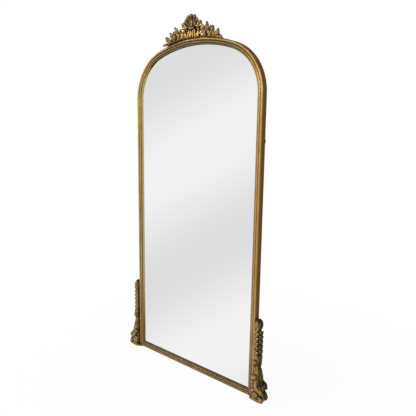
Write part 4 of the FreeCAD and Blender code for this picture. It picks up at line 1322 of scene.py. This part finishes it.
@dataclass
class Crest:
    """The carved crest: a palmette between two sprays of leaves, seated on the arch."""

    arch: Arch
    finish: bpy.types.Material
    voxel: float = 0.95 * MM
    seat_gap: float = 0.3 * MM
    ground_front: float = -10 * MM
    leaf_plane: float = -11 * MM
    base_rise: float = 4 * MM
    base_front: float = -9 * MM

    def __post_init__(self) -> None:
        """Reads the crest's reach from its nodes."""
        self.half_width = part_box("right_crest_spray")[1].x
        self.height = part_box("crest_palmette")[1].z - self.arch.top(0)
        self.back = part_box("crest_palmette")[1].y
        self.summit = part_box("crest_palmette")[1].z
        self.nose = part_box("right_crest_spray")[0].y

    def at(self, across: float, up: float, lift: float = 0.0) -> np.ndarray:
        """A point of the crest.

        Args:
            across: Share of the half width.
            up: Share of the height, from the arch.
            lift: Distance in front of the leaves' plane.

        Returns:
            The point.
        """
        x = across * self.half_width
        return np.array((x, self.leaf_plane - lift, self.arch.top(x) + up * self.height))

    def base(self, start: float, end: float) -> Shell:
        """Rounded fillet along the arch between two shares of the half width."""
        angles = [math.asin(share * self.half_width / self.arch.outer_radius) for share in (start, end)]
        depth = (self.back - self.base_front) / 2
        middle = (self.back + self.base_front) / 2
        radius = self.arch.outer_radius + self.base_rise / 2
        rings = []
        for angle in np.linspace(*angles, 40):
            out = np.array((math.sin(angle), 0, math.cos(angle)))
            centre = np.array((0, middle, self.arch.crown_centre)) + out * radius
            corner = np.linspace(0, 2 * np.pi, 20, endpoint=False)[:, None]
            rings.append(centre + out * boxy(np.sin(corner), 0.5) * self.base_rise / 2
                         + FRONT * boxy(np.cos(corner), 0.5) * depth)
        return tube(np.stack(rings))

    def ground(self, shares: Sequence[tuple[float, float]], clear: float) -> Shell:
        """Plate behind the leaves.

        Args:
            shares: Its corners as shares across and up.
            clear: How far it stays before the crest's back.

        Returns:
            The plate's shell.
        """
        corners = np.array([self.at(*share)[[0, 2]] for share in shares])
        return plate(corners, self.ground_front, self.back - clear)

    def trim(self, places: np.ndarray) -> np.ndarray:
        """Keeps points outside the arch's edge and inside the crest's reach."""
        centre = np.array((0, 0, self.arch.crown_centre))
        flat = (places - centre) * (1, 0, 1)
        reach = np.linalg.norm(flat, axis=1, keepdims=True)
        least = self.arch.outer_radius + self.seat_gap
        seated = centre + flat * (np.maximum(least, reach) / reach)
        seated[:, 1] = np.maximum(places[:, 1], self.nose)
        seated[:, 2] = np.minimum(seated[:, 2], self.summit)
        return seated

    def frond(self, root: tuple[float, float], tip: tuple[float, float], width: float, lift: float,
              **shape: float) -> Shell:
        """A leaf between two points of the crest.

        Args:
            root: Root as shares across and up.
            tip: Tip as shares across and up.
            width: Width as a share of the crest's height.
            lift: Distance in front of the leaves' plane, in mm.
            shape: Other fields of the leaf.

        Returns:
            The leaf's shell.
        """
        ends = [self.at(*end, lift * MM) for end in (root, tip)]
        return Leaf(*ends, width * self.height, **shape).shell()

    # angle from upright in degrees, then length and width as shares of the crest's height, and lift in mm
    PETALS = ((0, 0.595, 0.24, 6), (24, 0.59, 0.22, 3), (48, 0.54, 0.22, 5), (72, 0.47, 0.2, 2))
    PETAL_ROOT = 0.07
    BOSS_UP = 0.4
    BOSS_BALLS = (-0.05, 0, 0.05)
    REEDS = (-0.115, -0.04, 0.04, 0.115)
    PALMETTE_SPAN = (-0.262, 0.262)
    PALMETTE_GROUND = ((0, 0.84), (0.1, 0.79), (0.18, 0.66), (0.27, 0.55), (0.34, 0.42), (0.3, 0.26),
                       (0.25, 0.14), (0.25, 0.02), (0, 0.0))
    # degrees that a scroll winds
    WINDING = 430
    # foot and eye as shares across and up, radius and lift in mm
    SIDE_SCROLLS = (((0.212, 0.03), (0.285, 0.52), 13, 6), ((0.245, 0.14), (0.368, 0.4), 10, 4))
    # root, tip, width, bow, lift in mm
    SIDE_LEAVES = (((0.2, 0.3), (0.3, 0.7), 0.2, 0.12, 1), ((0.27, 0.2), (0.43, 0.4), 0.17, 0.1, 3),
                   ((0.225, -0.02), (0.25, 0.36), 0.14, -0.1, 4), ((0.165, 0.2), (0.185, 0.5), 0.15, 0.1, 3),
                   ((0.17, -0.03), (0.18, 0.13), 0.13, 0.0, 5))

    def palmette(self) -> Relief:
        """Fan of petals on a reeded stem, with two scrolls on each side."""
        relief = Relief("carved_palmette", self.voxel)
        height = self.height
        boss = self.at(0, self.BOSS_UP)
        relief.add(self.base(*self.PALMETTE_SPAN))
        left_half = ((-across, up) for across, up in self.PALMETTE_GROUND[-2:0:-1])
        relief.add(self.ground([*self.PALMETTE_GROUND, *left_half], 4 * MM))
        for angle, length, width, lift in self.PETALS:
            sine, cosine = math.sin(math.radians(angle)), math.cos(math.radians(angle))
            ends = (self.PETAL_ROOT, length)
            for side in ((1, -1) if angle else (1,)):
                heading = np.array((side * sine, 0, cosine))
                root, tip = (boss + heading * height * share + FRONT * lift * MM for share in ends)
                relief.add(Leaf(root, tip, width * height, bow=-0.06 * side if angle else 0.0, lean=6,
                                roll=36, crown=0.4, rib=0.3, outline=ROUND, **PLAIN).shell())
        front = FRONT * 9 * MM
        relief.add(Leaf(boss + front, boss + UP * height * 0.5 + front, 0.075 * height, lean=4, roll=20,
                        crown=0.6, **PLAIN).shell())
        for share in self.REEDS:
            foot = self.at(share * 1.1, -0.02, 6 * MM)
            top = self.at(share * 0.8, self.BOSS_UP - 0.02, 5 * MM)
            relief.add(Scroll(bezier(foot, (foot + top) / 2 + FRONT * 3 * MM, top, 14), 0.055 * height,
                              0.036 * height, channel=0.0).shell())
        for share in self.BOSS_BALLS:
            relief.add(ball(self.at(share, self.BOSS_UP, 9 * MM), 0.055 * height))
        for side in (1, -1):
            self.flank(relief, side)
        return relief

    def flank(self, relief: Relief, side: int) -> None:
        """Adds the scrolls and leaves beside the petals.

        Args:
            relief: The palmette.
            side: 1 for the right, -1 for the left.
        """
        for foot, eye, radius, lift in self.SIDE_SCROLLS:
            centre = self.at(side * eye[0], eye[1], lift * MM)
            first_angle = 180 if side > 0 else 0
            wound = Scroll.spiral(centre, radius * MM, radius * 0.3 * MM, first_angle, -side * self.WINDING)
            start = self.at(side * foot[0], foot[1], lift * MM)
            bend = np.array((wound[0][0], start[1], (start[2] + wound[0][2]) / 2))
            line = np.vstack([bezier(start, bend, wound[0], 16)[:-1], wound])
            relief.add(Scroll(line, radius * 0.42 * MM, radius * 0.3 * MM, 0.15).shell())
        for root, tip, width, bow, lift in self.SIDE_LEAVES:
            ends = [(side * across, up) for across, up in (root, tip)]
            relief.add(self.frond(*ends, width, lift, bow=bow * side, roll=40, outline=ROUND))

    # root, tip, width as a share of the crest's height, bow, lift in mm
    SPRAY_LEAVES = (
        ((0.4, -0.03), (0.545, 0.63), 0.27, 0.08, 5),
        ((0.47, -0.03), (0.64, 0.5), 0.2, 0.1, 0),
        ((0.55, -0.03), (0.73, 0.48), 0.26, 0.14, 5),
        ((0.7, -0.03), (0.89, 0.37), 0.26, 0.16, 5),
        ((0.8, 0.02), (1.0, 0.06), 0.21, 0.12, 5),
        ((0.33, -0.02), (0.41, 0.38), 0.22, -0.12, 1),
        ((0.49, -0.02), (0.43, 0.3), 0.19, -0.2, 11),
        ((0.64, -0.02), (0.57, 0.26), 0.18, -0.2, 11),
        ((0.655, -0.02), (0.79, 0.23), 0.18, 0.12, 11),
        ((0.3, -0.02), (0.285, 0.3), 0.16, 0.1, 3),
    )
    SPRAY_SPAN = (0.264, 0.9)
    SPRAY_GROUND = ((0.264, 0.02), (0.27, 0.25), (0.4, 0.29), (0.5, 0.38), (0.62, 0.3), (0.74, 0.24),
                    (0.84, 0.15), (0.88, 0.02), (0.6, 0.0))
    SPRAY_BERRIES = ((0.42, 0.08, 0.045), (0.6, 0.07, 0.045), (0.765, 0.06, 0.04))
    SPRAY_CURL = (0.335, 0.14)

    def spray(self) -> Relief:
        """Right-hand spray: leaves of falling height, a low curl at the inner end and small berries."""
        relief = Relief("carved_right_spray", self.voxel)
        height = self.height
        relief.add(self.base(*self.SPRAY_SPAN))
        relief.add(self.ground(self.SPRAY_GROUND, 6 * MM))
        for root, tip, width, bow, lift in self.SPRAY_LEAVES:
            relief.add(self.frond(root, tip, width, lift, bow=bow, lean=8, roll=28))
        for across, up, radius in self.SPRAY_BERRIES:
            relief.add(ball(self.at(across, up, 10 * MM), radius * height))
        curl = self.at(*self.SPRAY_CURL, 8 * MM)
        wound = Scroll.spiral(curl, 0.1 * height, 0.03 * height, -70, self.WINDING)
        relief.add(Scroll(wound, 0.045 * height, 0.03 * height, 0.15).shell())
        return relief

    # painted shade on the tips of the leaves, from 0 to 1
    TIP_SHADE_STRENGTH = 0.85

    def wash_and_shade_share(self, mesh: bpy.types.Mesh) -> np.ndarray:
        """Share of the dark wash and painted shade at each vertex of a casting: less along its seat."""
        places = read_vertices(mesh)
        above = np.hypot(places[:, 0], places[:, 2] - self.arch.crown_centre) - self.arch.outer_radius
        return 0.3 + 0.7 * ease(above, self.base_rise, self.base_rise + 3 * MM)

    def build(self) -> None:
        """Carves the three castings and hands them over."""
        middle = self.palmette().fuse(self.trim)
        right = self.spray().fuse(self.trim)
        for thing in (middle, right):
            # dark wash with painted shade, less of it along the seat, and painted shade on the leaf tips
            weather_and_light(thing.data, [FRONT], self.ground_front + 0.5 * MM, self.wash_and_shade_share(thing.data),
                    self.TIP_SHADE_STRENGTH * tips(read_vertices(thing.data)))
            thing.data.materials.append(self.finish)
        left = mirror_twin(right, "carved_left_spray")
        castings = {"crest_palmette": middle, "right_crest_spray": right, "left_crest_spray": left}
        for node, thing in castings.items():
            hand_over(thing, [node])


@dataclass
class Foot:
    """A carved bracket foot beside a stile: husks above, a leafy waist and a scrolled base."""

    arch: Arch
    finish: bpy.types.Material
    voxel: float = 1.25 * MM
    seat_gap: float = 0.3 * MM
    husk_foot: float = 0.252
    husk_run: float = 0.150
    husk_count: int = 6
    body_front: float = 13.5 * MM

    def __post_init__(self) -> None:
        """Reads the foot's reach from its nodes."""
        low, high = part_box("right_foot_bracket")
        self.inner = low.x
        self.reach = high.x - low.x
        self.bottom, self.top = low.z, high.z
        self.back = high.y
        self.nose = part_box("right_foot_scroll")[0].y

    # height as a share of the husks' foot, then outward and forward reach as shares of the foot's own
    BODY = ((0.0, 0.84, 1.1), (0.04, 0.9, 1.2), (0.1, 0.95, 1.1), (0.14, 0.9, 0.9), (0.18, 0.82, 0.85),
            (0.21, 0.8, 0.85), (0.26, 0.84, 0.85), (0.31, 0.84, 0.85), (0.36, 0.7, 0.85), (0.42, 0.58, 0.85),
            (0.5, 0.5, 0.82), (0.6, 0.34, 0.7), (0.66, 0.31, 0.66), (0.74, 0.35, 0.75), (0.82, 0.43, 0.95),
            (0.88, 0.45, 1.0), (0.94, 0.4, 0.9), (1.0, 0.32, 0.65), (1.6, 0.33, 0.6))

    def body(self) -> Shell:
        """Plain body of the bracket, flat against the stile and behind."""
        table = np.array(self.BODY)
        shares = np.linspace(0, table[-1, 0], 110)
        reach = np.interp(shares, table[:, 0], table[:, 1]) * self.reach
        ahead = np.interp(shares, table[:, 0], table[:, 2]) * self.body_front
        around = 48
        corner = np.linspace(0, 2 * np.pi, around, endpoint=False)
        bend = np.where(np.cos(corner) < 0, 0.2, 0.6)
        rings = []
        for z, out, front in zip(self.bottom + shares * (self.husk_foot - self.bottom), reach, ahead):
            near, far = self.arch.front - front, self.back
            x = self.inner + out / 2 + out / 2 * boxy(np.cos(corner), bend)
            y = (near + far) / 2 + (far - near) / 2 * boxy(np.sin(corner), 0.6)
            rings.append(np.stack([x, y, np.full(around, z)], axis=1))
        return tube(np.stack(rings))

    def point(self, out: float, ahead: float, z: float) -> np.ndarray:
        """A point, by a share of the reach, then a distance before the frame's front and a height in mm."""
        return np.array((self.inner + out * self.reach, self.arch.front - ahead * MM, z * MM))

    # root and tip as (out, ahead, share of the pitch), width in mm, face
    HUSK = (((0.05, 5, 0.0), (0.2, 9, 1.35), 17, (0.05, -1, 0)),
            ((0.2, 4, -0.3), (0.34, 8, 1.05), 17, (0.5, -1, 0)),
            ((0.29, -4, 0.1), (0.41, -4, 1.4), 20, (1, -0.35, 0)),
            ((0.3, -22, -0.3), (0.42, -22, 1.1), 24, (1, 0, 0)))

    def husks(self, relief: Relief) -> None:
        """Adds the run of overlapping leaves, whose tips point up and outwards, and the knob above them."""
        pitch = self.husk_run / self.husk_count / MM
        for index in range(self.husk_count):
            start = self.husk_foot / MM + pitch * (index - 0.6)
            for root, tip, width, face in self.HUSK[:2] if index == self.husk_count - 1 else self.HUSK:
                ends = [self.point(out, ahead, start + pitch * share) for out, ahead, share in (root, tip)]
                relief.add(Leaf(*ends, width * MM, face=unit(np.array(face, float)), lean=8, roll=16,
                                crown=0.5, rib=0.24, **PLAIN).shell())
        relief.add(ball(self.point(0.21, -12, self.top / MM - 32), (0.28 * self.reach, 27 * MM, 32 * MM)))

    # root, tip, width in mm, face, bow, lobes
    LEAVES = (
        ((0.14, 6, 162), (0.15, 8, 236), 26, (0.1, -1, 0), 0.0, 1),
        ((0.28, 2, 162), (0.33, 3, 238), 30, (0.9, -1, 0), 0.0, 1),
        ((0.28, -18, 158), (0.36, -18, 240), 40, (1, 0, 0), 0.0, 1),
        ((0.06, 8, 182), (0.06, 14, 122), 16, (0, -1, 0), 0.0, 1),
        ((0.22, 8, 182), (0.2, 14, 118), 17, (0.1, -1, 0), 0.0, 1),
        ((0.33, 1, 180), (0.42, 8, 104), 26, (0.9, -1, 0), 0.05, 2),
        ((0.32, -20, 180), (0.5, -20, 100), 36, (1, 0, 0), 0.0, 3),
        ((0.26, 9, 132), (0.4, 17, 84), 28, (0.3, -1, 0), -0.08, 3),
        ((0.44, -2, 124), (0.74, 2, 62), 34, (1, -0.7, 0.5), -0.12, 1),
        ((0.44, -22, 126), (0.74, -22, 60), 42, (1, 0, 0.5), -0.12, 1),
        ((0.08, 14, 104), (0.56, 21, 58), 15, (0.3, -1, 0), 0.1, 1),
        ((0.28, 14, 106), (0.7, 18, 58), 14, (0.5, -1, 0), 0.12, 1),
        ((0.46, 10, 104), (0.84, 13, 62), 15, (0.8, -1, 0), 0.12, 1),
        ((0.8, 2, 54), (0.93, 6, 16), 26, (1, -0.8, 0), 0.0, 2),
        ((0.8, -18, 56), (0.94, -18, 12), 38, (1, 0, 0), 0.0, 3),
    )

    # out, ahead, height and radius in mm
    KNOBS = ((0.07, 15, 99, 9.5), (0.24, 12, 128, 12.5), (0.22, 12, 204, 12.5), (0.74, 12, 9, 9))

    def acanthus(self, relief: Relief) -> None:
        """Adds the leaves of the bulge, the waist and the spreading base."""
        for root, tip, width, face, bow, lobes in self.LEAVES:
            rising = tip[2] > root[2]
            relief.add(Leaf(self.point(*root), self.point(*tip), width * MM, face=unit(np.array(face, float)),
                            bow=bow, lean=4, roll=14 if rising else 30, lobes=lobes, rib=0.26,
                            outline=POINTED if rising or lobes > 1 else ROUND).shell())
        for out, ahead, height, radius in self.KNOBS:
            wide, deep = 1.15 * radius * MM, 0.85 * radius * MM
            relief.add(ball(self.point(out, ahead, height), (wide, deep, wide)))

    # eye (out, height in mm), radius, band, start and turn in degrees
    SCROLLS = (((0.3, 38), 23, 6.5, 100, 470), ((0.76, 19), 12, 4.5, 140, -400))

    def scrolls(self, relief: Relief) -> None:
        """Adds the volutes on the front of the base and the toe below them."""
        for (out, height), radius, band, start, turn in self.SCROLLS:
            eye = self.point(out, 0, height)
            eye[1] = self.nose + band * MM
            wound = Scroll.spiral(eye, radius * MM, radius * 0.26 * MM, start, turn)
            relief.add(Scroll(wound, band * MM, band * 0.7 * MM, 0.15).shell())
            relief.add(ball(eye + FRONT * 0.5 * MM, band * MM))
        toe = bezier(self.point(-0.14, 9, 8), self.point(0.4, 16, 7), self.point(0.88, 9, 8), 14)
        relief.add(Scroll(toe, 8 * MM, 8 * MM, channel=0.0, flat=1.1).shell())
        relief.add(ball(self.point(0.66, -20, 76), (0.27 * self.reach, 26 * MM, 24 * MM)))

    def trim(self, places: np.ndarray) -> np.ndarray:
        """Keeps points off the stile, the floor pad and the frame's back plane."""
        seated = places.copy()
        seated[:, 2] = np.clip(seated[:, 2], self.bottom, self.top)
        seated[:, 1] = np.clip(seated[:, 1], self.nose, self.back)
        seated[:, 0] = np.minimum(seated[:, 0], self.inner + self.reach)
        inside = (seated[:, 0] < self.inner) & (seated[:, 1] > self.arch.front - self.seat_gap)
        ahead = inside & (seated[:, 1] < self.arch.front + 4 * MM)
        seated[ahead, 1] = self.arch.front - self.seat_gap
        beside = inside & ~ahead
        seated[beside, 0] = self.inner
        return seated

    def build(self) -> None:
        """Carves the right foot, turns it into the left one and hands both over."""
        relief = Relief("carved_right_foot", self.voxel)
        relief.add(self.body())
        self.husks(relief)
        self.acanthus(relief)
        self.scrolls(relief)
        right = relief.fuse(self.trim)
        places = read_vertices(right.data)
        # the tips of the foot's leaves take painted shade, except near the floor
        edges = tips(places) * ease(places[:, 2], 15 * MM, 40 * MM)
        weather_and_light(right.data, [FRONT, RIGHT, -RIGHT], self.back - 3 * MM, tip_shade=0.75 * edges)
        right.data.materials.append(self.finish)
        left = mirror_twin(right, "carved_left_foot")
        for side, thing in (("right", right), ("left", left)):
            hand_over(thing,
                      [f"{side}_foot_bracket", f"{side}_foot_leaves", f"{side}_foot_scroll"])


def spots(node: str, apart: float = 9 * MM) -> np.ndarray:
    """Middles of the rearmost faces of a node's solids, such as its screws' heads.

    Args:
        node: CAD node of several like solids.
        apart: Least distance between two solids.

    Returns:
        One point to a row.
    """
    places = read_vertices(frame["nodes"][node].data)
    faces = places[places[:, 1] > places[:, 1].max() - 0.02 * MM]
    found = []
    while len(faces):
        near = np.linalg.norm(faces - faces[0], axis=1) < apart
        group = faces[near]
        found.append((group.min(0) + group.max(0)) / 2)
        faces = faces[~near]
    return np.array(found)


@dataclass
class Fittings:
    """Screws, bumpers and pads, and the finish of what the CAD nodes already show."""

    materials: dict[Slot, bpy.types.Material]
    head_radius: float = 3.4 * MM
    recess_depth: float = 1.1 * MM
    recess_width: float = 0.55 * MM
    recess_length: float = 1.7 * MM
    head_dome: float = 0.25 * MM
    skirt_depth: float = 1.6 * MM
    skirt_share: float = 0.55
    bumper_radius: float = 5 * MM
    pad_corner: float = 6 * MM
    pad_rim: float = 0.5 * MM

    # outline of a bumper as shares of its radius and height
    BUMPER = ((0.94, 0.0), (1.0, 0.12), (1.0, 0.55), (0.95, 0.8), (0.82, 0.95), (0.55, 1.0), (0.2, 1.0))

    def screw_head(self) -> bpy.types.Mesh:
        """Countersunk head with a cross recess, facing +Z."""
        rings, around = 12, 32
        radius = np.linspace(0, 1, rings)[1:, None] * self.head_radius
        angle = np.linspace(0, 2 * np.pi, around, endpoint=False)[None, :]
        x, y = radius * np.cos(angle), radius * np.sin(angle)
        reach, wide = np.maximum(np.abs(x), np.abs(y)), np.minimum(np.abs(x), np.abs(y))
        cross = (1 - ease(wide, self.recess_width, self.recess_width * 1.5)) * (
            1 - ease(reach, self.recess_length, self.recess_length * 1.25))
        dome = self.head_dome * (1 - (radius / self.head_radius) ** 2)
        top = np.stack([x, y, dome - self.recess_depth * cross], axis=-1)
        skirt = np.stack([x[-1] * self.skirt_share, y[-1] * self.skirt_share,
                          np.full(around, -self.skirt_depth)], axis=-1)[None]
        points, faces = tube(np.concatenate([skirt, top[::-1]]))
        points[-1] = (0, 0, -self.recess_depth)
        mesh = closed_mesh("screw_head", (points, faces))
        mesh.set_sharp_from_angle(angle=math.radians(30))
        return mesh

    def bumper(self) -> bpy.types.Mesh:
        """Soft button with a rounded rim, facing +Z and standing on z = 0."""
        low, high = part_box("wall_bumpers")
        height = high.y - low.y
        radius, around = self.bumper_radius, 36
        angle = np.linspace(0, 2 * np.pi, around, endpoint=False)
        rings = [np.stack([radius * out * np.cos(angle), radius * out * np.sin(angle),
                           np.full(around, height * up)], axis=-1) for out, up in self.BUMPER]
        return closed_mesh("bumper", tube(np.stack(rings)))

    def scatter_tree(self) -> Nodes:
        """Tree that sets one shape on each point, facing back, at a turn of its own."""
        nodes, given = geometry_tree("set_on_back", {
            "Geometry": "NodeSocketGeometry", "Shape": "NodeSocketObject", "Most Turn": "NodeSocketFloat",
            "Seed": "NodeSocketInt", "Finish": "NodeSocketMaterial"})
        shape = nodes.wire("GeometryNodeObjectInfo", None, {"Object": given["Shape"]}, "Geometry")
        spin = nodes.wire("FunctionNodeRandomValue", {"data_type": "FLOAT"},
                          {2: 0.0, 3: given["Most Turn"], "Seed": given["Seed"]}, 1)
        euler = nodes.wire("ShaderNodeCombineXYZ", None, {"X": -math.pi / 2, "Y": 0.0, "Z": 0.0})
        turned = nodes.wire("ShaderNodeCombineXYZ", None, {"X": 0.0, "Y": 0.0, "Z": spin})
        first = nodes.wire("FunctionNodeEulerToRotation", None, {"Euler": turned})
        second = nodes.wire("FunctionNodeEulerToRotation", None, {"Euler": euler})
        rotation = nodes.wire("FunctionNodeRotateRotation", {"rotation_space": "GLOBAL"},
                              {"Rotation": first, "Rotate By": second})
        points = nodes.wire("GeometryNodeMeshToPoints", None, {"Mesh": given["Geometry"]})
        placed = nodes.wire("GeometryNodeInstanceOnPoints", None,
                            {"Points": points, "Instance": shape, "Rotation": rotation})
        nodes.give(placed, given["Finish"])
        return nodes

    def scatter(self, name: str, node: str, shape: bpy.types.Object, tree: Nodes, slot: Slot, seed: int,
                shift: float = 0.0) -> None:
        """Sets a shape on each solid of a node.

        Args:
            name: Name of the new piece.
            node: CAD node that it stands for.
            shape: Object to repeat.
            tree: Tree that repeats it.
            slot: Material slot of the piece.
            seed: Seed of the turns.
            shift: Distance from the solids' rear faces, towards the back.
        """
        base = bpy.data.meshes.new(name)
        base.from_pydata((spots(node) + (0, shift, 0)).tolist(), [], [])
        thing = grow(name, tree, {"Shape": shape, "Most Turn": math.pi / 2, "Seed": seed,
                                  "Finish": self.materials[slot]}, base)
        hand_over(thing, [node])

    def pads(self) -> None:
        """Felt pads under the feet, a little rounded."""
        for side in ("right", "left"):
            low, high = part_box(f"{side}_foot_pad")
            mesh = bpy.data.meshes.new(f"felt_{side}_pad")
            work = bmesh.new()
            size = high - low
            place = Matrix.Translation((low + high) / 2) @ Matrix.Diagonal((*size, 1))
            bmesh.ops.create_cube(work, size=1, matrix=place)
            upright = [edge for edge in work.edges
                       if abs((edge.verts[0].co - edge.verts[1].co).z) > size.z / 2]
            bmesh.ops.bevel(work, geom=upright, offset=self.pad_corner, segments=6, affect="EDGES")
            rim = [edge for edge in work.edges if edge.is_manifold and edge.calc_face_angle(0) > 1]
            bmesh.ops.bevel(work, geom=rim, offset=self.pad_rim, segments=2, affect="EDGES")
            work.to_mesh(mesh)
            work.free()
            mesh.materials.append(self.materials[Slot.FELT])
            mesh.shade_smooth()
            mesh.set_sharp_from_angle(angle=math.radians(60))
            hand_over(new_object(f"felt_{side}_pad", mesh), [f"{side}_foot_pad"])

    def build(self) -> None:
        """Makes the fittings and dresses the CAD nodes that stay in view."""
        tree = self.scatter_tree()
        head = new_object("screw_head", self.screw_head())
        for seed, (name, node) in enumerate((("panel_screw_heads", "back_panel_screws"),
                                             ("plate_screw_heads", "plate_screws"),
                                             ("hanger_screw_heads", "hanger_screws")), start=1):
            self.scatter(name, node, head, tree, Slot.SCREW, seed)
        button = new_object("bumper", self.bumper())
        low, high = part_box("wall_bumpers")
        self.scatter("rubber_bumpers", "wall_bumpers", button, tree, Slot.RUBBER, 9, low.y - high.y)
        for tool in (head, button):
            bpy.data.objects.remove(tool)
        self.pads()
        for entry in frame["record"]["subparts"]:
            thing = frame["nodes"][entry["node"]]
            thing.data.materials.clear()
            thing.data.materials.append(self.materials[Slot(entry["material_slot"])])


@dataclass
class Studio:
    """Camera of the photograph's view, soft lamps, a pale floor and a white surround."""

    position: tuple[float, float, float] = (1.577, -1.7481, 1.325)
    yaw: float = -40.016
    pitch: float = -9.534
    roll: float = 0.862
    focal_pixels: float = 444.286
    image_pixels: float = 416
    sensor: float = 36.0
    dim: float = 0.22
    front_lift: float = 0.36
    band_slant: float = 0.55
    band_rate: float = 13.486
    band_phase: float = 1.833
    band_level: float = 0.87
    band_depth: float = 0.093
    soft_light: float = 0.62
    floor_half: float = 20.0

    # place, target, side in metres and power in watts
    LAMPS = {
        "key": ((-2.9, -2.2, 3.2), (0, 0, 1.2), 1.2, 88),
        "fill": ((1.2, -3.6, 2.6), (0.1, 0, 0.9), 1.0, 22),
        "rim": ((-1.8, 3.0, 2.6), (0, 0, 1.2), 2.0, 16),
    }

    def axes(self) -> tuple[Vector, Vector, Vector]:
        """Directions to the right of the view, up it and ahead."""
        yaw, pitch, roll = (math.radians(angle) for angle in (self.yaw, self.pitch, self.roll))
        ahead = Vector((math.sin(yaw) * math.cos(pitch), math.cos(yaw) * math.cos(pitch), math.sin(pitch)))
        level = Vector((math.cos(yaw), -math.sin(yaw), 0))
        above = level.cross(ahead)
        right = math.cos(roll) * level + math.sin(roll) * above
        up = math.cos(roll) * above - math.sin(roll) * level
        return right, up, ahead

    def camera(self) -> None:
        """Sets the camera at the photograph's viewpoint."""
        right, up, ahead = self.axes()
        data = bpy.data.cameras.new("view")
        data.sensor_width = self.sensor
        data.lens = self.focal_pixels * self.sensor / self.image_pixels
        data.clip_end = 100
        camera = new_object("view", data)
        matrix = Matrix((right, up, -ahead)).transposed().to_4x4()
        matrix.translation = self.position
        camera.matrix_world = matrix
        bpy.context.scene.camera = camera

    def lamp(self, name: str, place: tuple[float, float, float], target: tuple[float, float, float],
             size: float, power: float) -> None:
        """Adds a square soft lamp.

        Args:
            name: The lamp's name.
            place: Where it stands.
            target: Point that it looks at.
            size: Length of its side.
            power: Its power in watts.
        """
        data = bpy.data.lights.new(name, "AREA")
        data.shape = "SQUARE"
        data.size = size
        data.energy = power
        lamp = new_object(name, data)
        lamp.location = place
        lamp.rotation_euler = (Vector(target) - Vector(place)).to_track_quat("-Z", "Y").to_euler()

    def surround(self) -> None:
        """White surround, which polished things see as broad soft bands of light."""
        world = bpy.data.worlds.new("surround")
        bpy.context.scene.world = world
        world.use_nodes = True
        nodes = Nodes(world.node_tree)
        seen, glossy, through = nodes.light_paths("Is Camera Ray", "Is Glossy Ray", "Is Transmission Ray")
        heading = nodes.wire("ShaderNodeTexCoord", None, None, "Generated")

        def along(axis: Vector) -> Wire:
            """How far the view's heading runs along an axis."""
            values = {0: heading, 1: axis}
            return nodes.wire("ShaderNodeVectorMath", {"operation": "DOT_PRODUCT"}, values, "Value")

        right, up, ahead = (axis * Vector((1, -1, 1)) for axis in self.axes())
        facing = along(ahead)
        slant = nodes.maths("DIVIDE", along(self.band_slant * right - up), facing.most(0.15))
        wave = nodes.maths("COSINE", slant * self.band_rate + self.band_phase)
        band = self.band_level + self.band_depth * wave
        depth, rise = (along(Vector(axis)) for axis in ((0, 1, 0), (0, 0, 1)))
        dim = self.dim + self.front_lift * (0 - depth).step(-0.2, 0.6)
        shade = (1 - 0.5 * rise.step(0.3, 0.8)) * (1 - 0.5 * (0 - rise).step(0.6, 0.95))
        polished = (dim + (band - dim) * facing.step(0.3, 0.85)) * shade
        open_view = seen.most(through)
        level = open_view + (1 - open_view) * (glossy * polished + (1 - glossy) * self.soft_light)
        background = nodes.wire("ShaderNodeBackground", None, {"Color": (1, 1, 1, 1), "Strength": level})
        nodes.add("ShaderNodeOutputWorld", None, {"Surface": background})

    def floor(self) -> None:
        """Pale floor that keeps a soft shadow and that polished things see past, to the surround."""
        mesh = bpy.data.meshes.new("floor")
        half = self.floor_half
        corners = [(-half, -half, 0), (half, -half, 0), (half, half, 0), (-half, half, 0)]
        mesh.from_pydata(corners, [], [(0, 1, 2, 3)])
        material = bpy.data.materials.new("floor")
        material.use_nodes = True
        nodes = Nodes(material.node_tree)
        seen, glossy = nodes.light_paths("Is Camera Ray", "Is Glossy Ray")
        pale = nodes.wire("ShaderNodeBsdfDiffuse", None, {"Color": (0.86, 0.86, 0.86, 1)})
        white = nodes.wire("ShaderNodeEmission", None, {"Color": (1, 1, 1, 1), "Strength": 1.0})
        clear = nodes.wire("ShaderNodeBsdfTransparent")
        spot = nodes.wire("ShaderNodeTexCoord", None, None, "Object")
        away = nodes.wire("ShaderNodeVectorMath", {"operation": "LENGTH"}, {0: spot}, "Value").step(0.3, 2.2)
        lit = nodes.wire("ShaderNodeMixShader", None, {0: seen * (0.94 + 0.06 * away), 1: pale, 2: white})
        whole = nodes.wire("ShaderNodeMixShader", None, {0: glossy, 1: lit, 2: clear})
        nodes.add("ShaderNodeOutputMaterial", None, {"Surface": whole})
        mesh.materials.append(material)
        floor = new_object("floor", mesh)

    def build(self) -> None:
        """Sets up the view, the light and the stage."""
        self.camera()
        for name, lamp in self.LAMPS.items():
            self.lamp(name, *lamp)
        self.surround()
        self.floor()
        bpy.context.scene.view_settings.view_transform = "Standard"


def main() -> None:
    """Builds the mirror's looks around the CAD frame."""
    logging.basicConfig(level=logging.INFO, format="%(message)s")
    materials = finishes()
    arch = Arch()
    Studio().build()
    Moulding(arch, materials[Slot.WOOD]).build()
    Crest(arch, materials[Slot.CASTING]).build()
    Foot(arch, materials[Slot.CASTING]).build()
    Fittings(materials).build()


if __name__ == "__main__":
    main()
